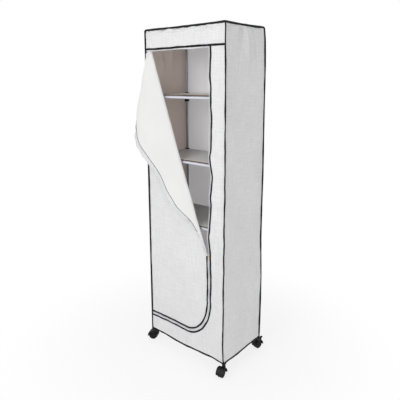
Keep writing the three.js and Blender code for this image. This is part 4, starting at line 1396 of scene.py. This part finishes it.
def slub_group():
    """Slubs: threads that are thicker in places, as two noises drawn out along the two ways of the
    cloth and added."""
    tree, given, end = group("Slubs", {"Place": None, "Size": 0.004}, ("Streaks",))
    scale = maths(tree, "DIVIDE", 1.0, given["Size"])
    along = noise(tree, stretched(tree, given["Place"], (1, 0.06, 1)), scale, 2.0, 0.6)
    across = noise(tree, stretched(tree, given["Place"], (0.06, 1, 1)), scale, 2.0, 0.6)
    tree.links.new(times(tree, maths(tree, "ADD", along, across), 0.5), end["Streaks"])


def mottle_group():
    """Mottle: a soft cloudy change from place to place, as one noise of two sizes, about its
    middle."""
    tree, given, end = group("Mottle", {"Place": None, "Size": 0.1, "Strength": 0.1}, ("Shade",))
    scale = maths(tree, "DIVIDE", 1.0, given["Size"])
    cloud = maths(tree, "SUBTRACT", noise(tree, given["Place"], scale, 3.0, 0.55), 0.5)
    shade = times(tree, cloud, given["Strength"])
    tree.links.new(maths(tree, "ADD", shade, 1.0), end["Shade"])


def grain_group():
    """Moulded grain: small round cells with a finer noise over them."""
    tree, given, end = group("Moulded grain", {"Place": None, "Size": 0.0006}, ("Height",))
    scale = maths(tree, "DIVIDE", 1.0, given["Size"])
    cells = join(tree, "ShaderNodeTexVoronoi", {"Vector": given["Place"], "Scale": scale},
                 feature="SMOOTH_F1")  # fmt: skip
    fine = noise(tree, given["Place"], times(tree, scale, 1.7), 2.0)
    high = maths(tree, "ADD", times(tree, cells, 0.6), times(tree, fine, 0.4))
    tree.links.new(high, end["Height"])


def scuff_group():
    """Scuffs: fine scratches where a drawn-out noise is high, kept to patches of a larger one."""
    tree, given, end = group("Scuffs", {"Place": None, "Size": 0.02, "Amount": 0.5}, ("Mask",))
    scale = maths(tree, "DIVIDE", 1.0, given["Size"])
    drawn = stretched(tree, given["Place"], (1.0, 0.9, 0.16))
    lines = noise(tree, drawn, times(tree, scale, 9.0), 3.0, 0.65)
    patches = noise(tree, given["Place"], scale, 2.0)
    mask = times(tree, ranged(tree, lines, 0.58, 0.72), ranged(tree, patches, 0.48, 0.66))
    tree.links.new(times(tree, mask, given["Amount"]), end["Mask"])


def dust_group():
    """Dust: it lies where a surface faces up, unevenly."""
    tree, given, end = group("Dust", {"Place": None, "Facing": None, "Amount": 0.3}, ("Mask",))
    up = ranged(tree, axis(tree, given["Facing"], 2), 0.35, 0.95)
    patchy = ranged(tree, noise(tree, given["Place"], 90.0, 4.0, 0.65), 0.35, 0.75)
    mask = times(tree, times(tree, up, patchy), given["Amount"])
    tree.links.new(mask, end["Mask"])


# --- Materials -----------------------------------------------------------------------------------


def finish(name, rough, metallic=0.0, **constants):
    """A new material with a Principled BSDF. Gives its shader's inputs with its places on the
    object and on the flat cloth and the way its surface faces; its tree; and the colours."""
    material = bpy.data.materials.new(name)
    material.use_nodes = True
    tree = material.node_tree
    shader = next(n for n in tree.nodes if n.type == "BSDF_PRINCIPLED")
    shader.inputs["Roughness"].default_value = rough
    shader.inputs["Metallic"].default_value = metallic
    for key, value in constants.items():
        shader.inputs[key.replace("_", " ").title().replace("Ior", "IOR")].default_value = value
    place = tree.nodes.new("ShaderNodeTexCoord").outputs["Object"]
    flat = join(tree, "ShaderNodeUVMap", uv_map="flat")
    facing = tree.nodes.new("ShaderNodeNewGeometry").outputs["Normal"]
    made = SimpleNamespace(tree=tree, to=shader.inputs, place=place, flat=flat, facing=facing)
    return made, tree, bpy.context.scene.wardrobe_finish


def bumped(m, height, distance, strength=1.0, under=None):
    """A Bump node over a height, on top of another where one is given."""
    inputs = {"Height": height, "Distance": distance, "Strength": strength}
    if under:
        inputs["Normal"] = under
    return join(m.tree, "ShaderNodeBump", inputs)


def wired(m, **values):
    """Joins values to the shader's inputs."""
    for key, value in values.items():
        m.tree.links.new(value, m.to[key.replace("_", " ").title()])


def shaded(m, colour, shade):
    """A colour times a value that changes over the surface."""
    grey = join(m.tree, "ShaderNodeCombineColor", {0: shade, 1: shade, 2: shade})
    return blended(m.tree, 1.0, (*colour, 1), grey, "MULTIPLY")


def cloth_material():
    """The cover's outside: a fine plain weave with slubs, clouded a little, with the small creases
    that thin cloth keeps, and painted shade in the gaps between its threads."""
    m, t, c = finish(
        "Woven cloth", 0.8, specular_ior_level=0.25, sheen_weight=0.12, sheen_roughness=0.5,
        subsurface_weight=0.3, subsurface_scale=0.002, subsurface_radius=(1.0, 0.97, 0.95),
    )  # fmt: skip
    weave_gap_shade = use(m, "Plain weave", "Gap", Place=m.flat, Pitch=WEAVE)
    height = use(m, "Plain weave", "Height", Place=m.flat, Pitch=WEAVE)
    streaks = use(m, "Slubs", Place=m.flat, Size=0.005)
    cloud = use(m, "Mottle", Size=0.16, Strength=0.12)
    shade = times(t, cloud, spread(t, streaks, 0.92, 1.05))
    # Painted shade: darker in the gaps between the threads.
    shade = times(t, shade, ranged(t, weave_gap_shade, 0, 1, 1.0, 0.92))
    wired(m, base_color=shaded(m, c.cloth, shade))
    wired(m, roughness=spread(t, streaks, 0.72, 0.86))
    creases = bumped(m, noise(t, m.flat, 26.0, 3.0, 0.6), 0.0045, 0.7)
    thick = bumped(m, streaks, 0.0009, 0.8, creases)
    wired(m, normal=bumped(m, height, 0.00012, 0.8, thick))


def lining_material():
    """The cover's inside: the same cloth with a smooth coating, through which the weave shows.
    Light from outside shines through it, most through the back. The side lining is darker and
    browner as painted shade, and the back lining's mauve tint is painted light; the cloth's inside
    is as white as the cloth lining."""
    c = bpy.context.scene.wardrobe_finish
    one_lining("Cloth lining", c.lining, 0.25)
    # Painted shade: the side panels' inside gets a darker, browner colour than the white lining.
    one_lining("Side lining painted shade", c.side_lining_painted_shade, 0.6)
    # Painted light: a mauve tint for the light on the back panel's inside, whose cloth is white.
    one_lining("Back lining painted tint", (0.88, 0.85, 0.88), 1.0)


def one_lining(name, tint, through):
    """One of the linings, by its colour and the share of light that passes through."""
    m, t, _ = finish(
        name, 0.62, specular_ior_level=0.3, subsurface_weight=through, subsurface_scale=0.005,
        subsurface_radius=(1.0, 0.96, 0.97),
    )  # fmt: skip
    height = use(m, "Plain weave", "Height", Place=m.flat, Pitch=WEAVE)
    cloud = use(m, "Mottle", Size=0.12, Strength=0.05)
    wired(m, base_color=shaded(m, tint, cloud))
    wired(m, roughness=spread(t, noise(t, m.place, 30.0), 0.55, 0.7))
    creases = bumped(m, noise(t, m.flat, 20.0, 3.0, 0.55), 0.0025, 0.45)
    wired(m, normal=bumped(m, height, 0.00006, 0.7, creases))


def binding_material():
    """The binding: a ribbed black tape, ribs across it, a little worn and dusty."""
    m, t, c = finish("Woven binding", 0.8, specular_ior_level=0.2)
    ribs = maths(t, "SINE", times(t, axis(t, m.flat, 1), 2 * math.pi / 0.0009))
    fuzz = noise(t, m.place, 900.0, 3.0, 0.6)
    worn = use(m, "Mottle", Size=0.03, Strength=0.6)
    dust = use(m, "Dust", Amount=0.03)
    black = shaded(m, c.binding, times(t, worn, spread(t, fuzz, 0.7, 1.5)))
    wired(m, base_color=blended(t, dust, black, (0.4, 0.39, 0.37, 1)))
    wired(m, roughness=spread(t, fuzz, 0.65, 0.85))
    high = maths(t, "ADD", times(t, ribs, 0.5), fuzz)
    wired(m, normal=bumped(m, high, 0.0001, 0.8))


def tape_materials():
    """The zip's tape, its coil, and the sewing thread."""
    m, t, c = finish("Zip tape", 0.7, specular_ior_level=0.3, sheen_weight=0.1)
    height = use(m, "Plain weave", "Height", Place=m.flat, Pitch=0.0006)
    cloud = use(m, "Mottle", Size=0.03, Strength=0.12)
    # Painted shade: the tape is darker where its weave lies low.
    wired(m, base_color=shaded(m, c.tape, times(t, cloud, ranged(t, height, 0, 1, 0.9, 1.03))))
    wired(m, normal=bumped(m, height, 0.00008, 0.8))
    m, t, c = finish("Zip coil", 0.38, specular_ior_level=0.5)
    cloud = use(m, "Mottle", Size=0.01, Strength=0.25)
    wired(m, base_color=shaded(m, c.teeth, cloud))
    wired(m, roughness=spread(t, noise(t, m.place, 400.0), 0.3, 0.5))
    m, t, _ = finish("Thread", 0.8, sheen_weight=0.2)
    twist = noise(t, stretched(t, m.place, (1, 1, 0.4)), 2600.0, 2.0)
    wired(m, base_color=shaded(m, (0.83, 0.82, 0.81), spread(t, twist, 0.85, 1.05)))
    wired(m, normal=bumped(m, twist, 0.0001, 0.6))


def steel_material():
    """Painted tube: a bluish white powder coat with its orange peel, a few scuffs and some dust;
    and the posts' steel, drawn along its length, in a dark grey that is painted shade and painted
    dark reflection."""
    m, t, c = finish("Painted steel", 0.36, coat_weight=0.25, coat_roughness=0.2)
    cloud = use(m, "Mottle", Size=0.08, Strength=0.06)
    scuffs = use(m, "Scuffs", Size=0.03, Amount=0.35)
    dust = use(m, "Dust", Amount=0.25)
    paint = blended(t, scuffs, shaded(m, c.steel, cloud), (0.42, 0.42, 0.44, 1))
    wired(m, base_color=blended(t, dust, paint, (0.55, 0.53, 0.5, 1)))
    wired(m, roughness=ranged(t, maths(t, "ADD", scuffs, dust), 0, 0.4, 0.32, 0.6))
    peel = noise(t, m.place, 700.0, 2.0, 0.5)
    wired(m, normal=bumped(m, peel, 0.00012, 0.5))
    m, t, _ = finish("Grey steel painted shade", 0.3, metallic=0.9)
    drawn = noise(t, stretched(t, m.place, (1, 1, 0.03)), 900.0, 3.0, 0.6)
    # Painted shade and reflection: the posts' dark grey stands in for their shade and the dark
    # things that they reflect.
    wired(m, base_color=shaded(m, (0.36, 0.36, 0.39), spread(t, drawn, 0.85, 1.1)))
    wired(m, roughness=spread(t, drawn, 0.26, 0.42))


def plastic_material():
    """Moulded black plastic: fine grain, scuffs that show grey, and dust on top."""
    m, t, c = finish("Moulded plastic", 0.42, specular_ior_level=0.25)
    grain = use(m, "Moulded grain", Size=0.0007)
    cloud = use(m, "Mottle", Size=0.02, Strength=0.5)
    scuffs = use(m, "Scuffs", Size=0.012, Amount=0.35)
    dust = use(m, "Dust", Amount=0.02)
    black = blended(t, scuffs, shaded(m, c.plastic, cloud), (0.05, 0.05, 0.05, 1))
    wired(m, base_color=blended(t, dust, black, (0.35, 0.33, 0.31, 1)))
    wired(m, roughness=ranged(t, maths(t, "ADD", scuffs, grain), 0.2, 0.9, 0.42, 0.66))
    wired(m, normal=bumped(m, grain, 0.00008, 0.7))


def rubber_material():
    """The wheels: matt, with dust and small nicks from the floor."""
    m, t, c = finish("Wheel rubber", 0.6, specular_ior_level=0.2)
    nicks = noise(t, m.place, 420.0, 4.0, 0.7)
    cloud = use(m, "Mottle", Size=0.008, Strength=0.7)
    scuffs = use(m, "Scuffs", Size=0.008, Amount=0.5)
    black = shaded(m, c.rubber, cloud)
    wired(m, base_color=blended(t, scuffs, black, (0.05, 0.048, 0.046, 1)))
    wired(m, roughness=spread(t, nicks, 0.58, 0.8))
    wired(m, normal=bumped(m, nicks, 0.00015, 0.6))


def board_materials():
    """The shelf boards: a satin white coating with a faint grain in it, and a raw fibre edge."""
    m, t, c = finish("Coated board", 0.42, specular_ior_level=0.45)
    fibres = noise(t, stretched(t, m.place, (0.08, 1, 1)), 500.0, 3.0, 0.6)
    cloud = use(m, "Mottle", Size=0.09, Strength=0.05)
    scuffs = use(m, "Scuffs", Size=0.06, Amount=0.2)
    white = shaded(m, c.board, times(t, cloud, spread(t, fibres, 0.97, 1.01)))
    wired(m, base_color=blended(t, scuffs, white, (0.5, 0.48, 0.45, 1)))
    wired(m, roughness=ranged(t, scuffs, 0, 0.2, 0.38, 0.6))
    wired(m, normal=bumped(m, fibres, 0.00006, 0.4))
    m, t, c = finish("Raw board edge", 0.85, specular_ior_level=0.2)
    flecks = noise(t, stretched(t, m.place, (1, 1, 3.5)), 420.0, 4.0, 0.7)
    cloud = use(m, "Mottle", Size=0.03, Strength=0.5)
    tan = blended(t, ranged(t, flecks, 0.35, 0.65), (0.10, 0.06, 0.035, 1), (*c.board_edge, 1))
    grey = join(t, "ShaderNodeCombineColor", {0: cloud, 1: cloud, 2: cloud})
    wired(m, base_color=blended(t, 1.0, tan, grey, "MULTIPLY"))
    wired(m, roughness=spread(t, flecks, 0.75, 0.95))
    wired(m, normal=bumped(m, flecks, 0.0003, 0.8))


def brass_material():
    """The slider and its pull: plated brass, with fine scratches and a darker tarnish."""
    m, t, c = finish("Brass", 0.3, metallic=1.0)
    scratches = noise(t, stretched(t, m.place, (1, 1, 0.12)), 2400.0, 3.0, 0.7)
    tarnish = use(m, "Mottle", Size=0.006, Strength=0.6)
    wired(m, base_color=shaded(m, c.brass, tarnish))
    wired(m, roughness=spread(t, scratches, 0.24, 0.45))
    wired(m, normal=bumped(m, scratches, 0.00003, 0.5))


def build_finishes():
    """The node groups and the materials of all finishes."""
    for make in (weave_group, slub_group, mottle_group, grain_group, scuff_group, dust_group):
        make()
    for make in (cloth_material, lining_material, binding_material, tape_materials, steel_material,
                 plastic_material, rubber_material, board_materials, brass_material):  # fmt: skip
        make()


# --- Stage ---------------------------------------------------------------------------------------


def seen_directly(tree):
    """A mask: 1 for what the camera sees, also in gloss or through glass."""
    path = tree.nodes.new("ShaderNodeLightPath").outputs
    seen = maths(tree, "MAXIMUM", path["Is Camera Ray"], path["Is Glossy Ray"])
    return maths(tree, "MAXIMUM", seen, path["Is Transmission Ray"])


def build_floor():
    """A plain pale floor, which turns to the white of the background away from the object."""
    half = 30.0
    mesh = bpy.data.meshes.new("floor")
    corners = [(x * half, y * half, 0) for x, y in ((-1, -1), (1, -1), (1, 1), (-1, 1))]
    mesh.from_pydata(corners, [], [(0, 1, 2, 3)])
    floor = added("floor", mesh)
    material = bpy.data.materials.new("Floor")
    material.use_nodes = True
    tree = material.node_tree
    tree.nodes.clear()
    place = tree.nodes.new("ShaderNodeTexCoord").outputs["Object"]
    middle = stretched(tree, place, (1, 1, 0))
    away = join(tree, "ShaderNodeVectorMath", {0: middle}, "Value", operation="LENGTH")
    matt = join(tree, "ShaderNodeBsdfDiffuse", {"Color": (0.86, 0.86, 0.86, 1)})
    white = join(tree, "ShaderNodeEmission", {"Color": (1, 1, 1, 1), "Strength": 1.0})
    near, far = 0.35, 1.1  # between which it turns white
    bright = ranged(tree, away, near, far, 0.8, 1.0)
    share = times(tree, bright, seen_directly(tree))
    mixed = join(tree, "ShaderNodeMixShader", {0: share, 1: matt, 2: white})
    join(tree, "ShaderNodeOutputMaterial", {"Surface": mixed})
    mesh.materials.append(material)


def build_lights():
    """A large soft lamp in front, above and a little to the right, a weaker one level with the
    object to its right, and a white world that lights the object less than it shows."""
    world = bpy.data.worlds.new("Studio")
    bpy.context.scene.world = world
    world.use_nodes = True
    tree = world.node_tree
    tree.nodes.clear()
    lighting, showing = 0.655, 1.0
    strength = ranged(tree, seen_directly(tree), 0, 1, lighting, showing)
    light = join(tree, "ShaderNodeBackground", {"Color": (1, 1, 1, 1), "Strength": strength})
    join(tree, "ShaderNodeOutputWorld", {"Surface": light})
    for name, azimuth, elevation, height, distance, size, energy in (
        ("key", 4, 24, 0.85, 2.9, 1.6, 29.5),
        ("fill", 66, 0, 0.62, 3.0, 1.2, 8.0),
    ):
        lamp = bpy.data.lights.new(name, "AREA")
        lamp.shape, lamp.size, lamp.energy = "DISK", size, energy
        at = aimed(azimuth, elevation, 0.0, (0, 0, height), distance)
        added(name, lamp).matrix_world = at


def aimed(azimuth, elevation, roll, middle, distance):
    """A matrix for a camera or lamp that looks along its own -Z at a place, from an azimuth
    counted from the front to the right and an elevation, all in degrees."""
    a, e, r = (math.radians(v) for v in (azimuth, elevation, roll))
    back = np.array((math.sin(a) * math.cos(e), -math.cos(a) * math.cos(e), math.sin(e)))
    right = np.array((math.cos(a), math.sin(a), 0))
    up = np.cross(back, right)
    turned = np.eye(4)
    turned[:3, 0] = right * math.cos(r) + up * math.sin(r)
    turned[:3, 1] = -right * math.sin(r) + up * math.cos(r)
    turned[:3, 2] = back
    turned[:3, 3] = np.array(middle) + back * distance
    return Matrix(turned.tolist())


def build_camera():
    """The camera at the photograph's angle, with the small shift of its cropped frame."""
    azimuth, elevation, roll, place = 40.4126, 9.5616, -0.2947, (1.43454, -1.628365, 1.378203)
    data = bpy.data.cameras.new("camera")
    data.sensor_width, data.lens, data.clip_end = 36.0, 39.518, 100.0  # mm, mm and m
    data.shift_x, data.shift_y = -0.01045, -0.11278
    camera = added("camera", data)
    camera.matrix_world = aimed(azimuth, elevation, roll, place, 0.0)
    bpy.context.scene.camera = camera


# --- Add-on --------------------------------------------------------------------------------------


class WARDROBE_OT_finishes(bpy.types.Operator):
    """Make the materials of the cloth, rack and casters"""

    bl_idname = "wardrobe.finishes"
    bl_label = "Finishes"

    def execute(self, context):
        build_finishes()
        return {"FINISHED"}


class WARDROBE_OT_panels(bpy.types.Operator):
    """Build the cover's panels: sides, back, roof, header, fixed front and door"""

    bl_idname = "wardrobe.panels"
    bl_label = "Cover panels"

    def execute(self, context):
        for build in (build_sides, build_back, build_roof, build_header, build_strip, build_door):
            build()
        return {"FINISHED"}


class WARDROBE_OT_folded_corner(bpy.types.Operator):
    """Build the door's folded corner and the roll along its fold"""

    bl_idname = "wardrobe.folded_corner"
    bl_label = "Folded corner"

    def execute(self, context):
        build_flap()
        build_fold()
        return {"FINISHED"}


class WARDROBE_OT_bindings(bpy.types.Operator):
    """Build the black bindings along the cover's edges and beside the zip"""

    bl_idname = "wardrobe.bindings"
    bl_label = "Bindings"

    def execute(self, context):
        build_bindings()
        build_door_bindings()
        return {"FINISHED"}


class WARDROBE_OT_zip(bpy.types.Operator):
    """Build the zip's tapes and teeth"""

    bl_idname = "wardrobe.zip"
    bl_label = "Zip"

    def execute(self, context):
        build_zip()
        return {"FINISHED"}


class WARDROBE_OT_slider(bpy.types.Operator):
    """Build the zip's slider and its pull"""

    bl_idname = "wardrobe.slider"
    bl_label = "Slider"

    def execute(self, context):
        build_slider()
        return {"FINISHED"}


class WARDROBE_OT_stitches(bpy.types.Operator):
    """Build the lines of stitches beside the seams"""

    bl_idname = "wardrobe.stitches"
    bl_label = "Stitches"

    def execute(self, context):
        build_stitches()
        return {"FINISHED"}


class WARDROBE_OT_tubes(bpy.types.Operator):
    """Build the rack's painted tubes"""

    bl_idname = "wardrobe.tubes"
    bl_label = "Tubes"

    def execute(self, context):
        build_tubes()
        return {"FINISHED"}


class WARDROBE_OT_connectors(bpy.types.Operator):
    """Build the black connectors at the rack's corners"""

    bl_idname = "wardrobe.connectors"
    bl_label = "Connectors"

    def execute(self, context):
        build_connectors()
        return {"FINISHED"}


class WARDROBE_OT_boards(bpy.types.Operator):
    """Build the shelf boards"""

    bl_idname = "wardrobe.boards"
    bl_label = "Shelf boards"

    def execute(self, context):
        build_boards()
        return {"FINISHED"}


class WARDROBE_OT_casters(bpy.types.Operator):
    """Build the casters with their brakes"""

    bl_idname = "wardrobe.casters"
    bl_label = "Casters"

    def execute(self, context):
        build_casters()
        return {"FINISHED"}


class WARDROBE_OT_stage(bpy.types.Operator):
    """Set up the floor, the lights and the camera"""

    bl_idname = "wardrobe.stage"
    bl_label = "Stage"

    def execute(self, context):
        context.scene.view_settings.view_transform = "Standard"
        build_camera()
        build_floor()
        build_lights()
        return {"FINISHED"}


STEPS = (
    WARDROBE_OT_finishes,
    WARDROBE_OT_panels,
    WARDROBE_OT_folded_corner,
    WARDROBE_OT_bindings,
    WARDROBE_OT_zip,
    WARDROBE_OT_slider,
    WARDROBE_OT_stitches,
    WARDROBE_OT_tubes,
    WARDROBE_OT_connectors,
    WARDROBE_OT_boards,
    WARDROBE_OT_casters,
    WARDROBE_OT_stage,
)
SETTINGS = {
    "wardrobe_cover": WardrobeCover,
    "wardrobe_rack": WardrobeRack,
    "wardrobe_finish": WardrobeFinish,
}


class WARDROBE_PT_build(bpy.types.Panel):
    """The wardrobe's building steps, sizes and colours"""

    bl_idname = "WARDROBE_PT_build"
    bl_label = "Fabric wardrobe"
    bl_space_type = "VIEW_3D"
    bl_region_type = "UI"
    bl_category = "Wardrobe"

    def draw(self, context):
        for step_class in STEPS:
            self.layout.operator(step_class.bl_idname)
        for name, settings in SETTINGS.items():
            box = self.layout.box()
            for key in settings.__annotations__:
                box.prop(getattr(context.scene, name), key)


def register():
    for kind in (*SETTINGS.values(), *STEPS, WARDROBE_PT_build):
        bpy.utils.register_class(kind)
    for name, settings in SETTINGS.items():
        setattr(bpy.types.Scene, name, bpy.props.PointerProperty(type=settings))


def unregister():
    for name in SETTINGS:
        delattr(bpy.types.Scene, name)
    for kind in reversed((*SETTINGS.values(), *STEPS, WARDROBE_PT_build)):
        bpy.utils.unregister_class(kind)


def main():
    """Builds everything in order."""
    register()
    for step_class in STEPS:
        getattr(bpy.ops.wardrobe, step_class.bl_idname.split(".")[1])()


if __name__ == "__main__":
    main()
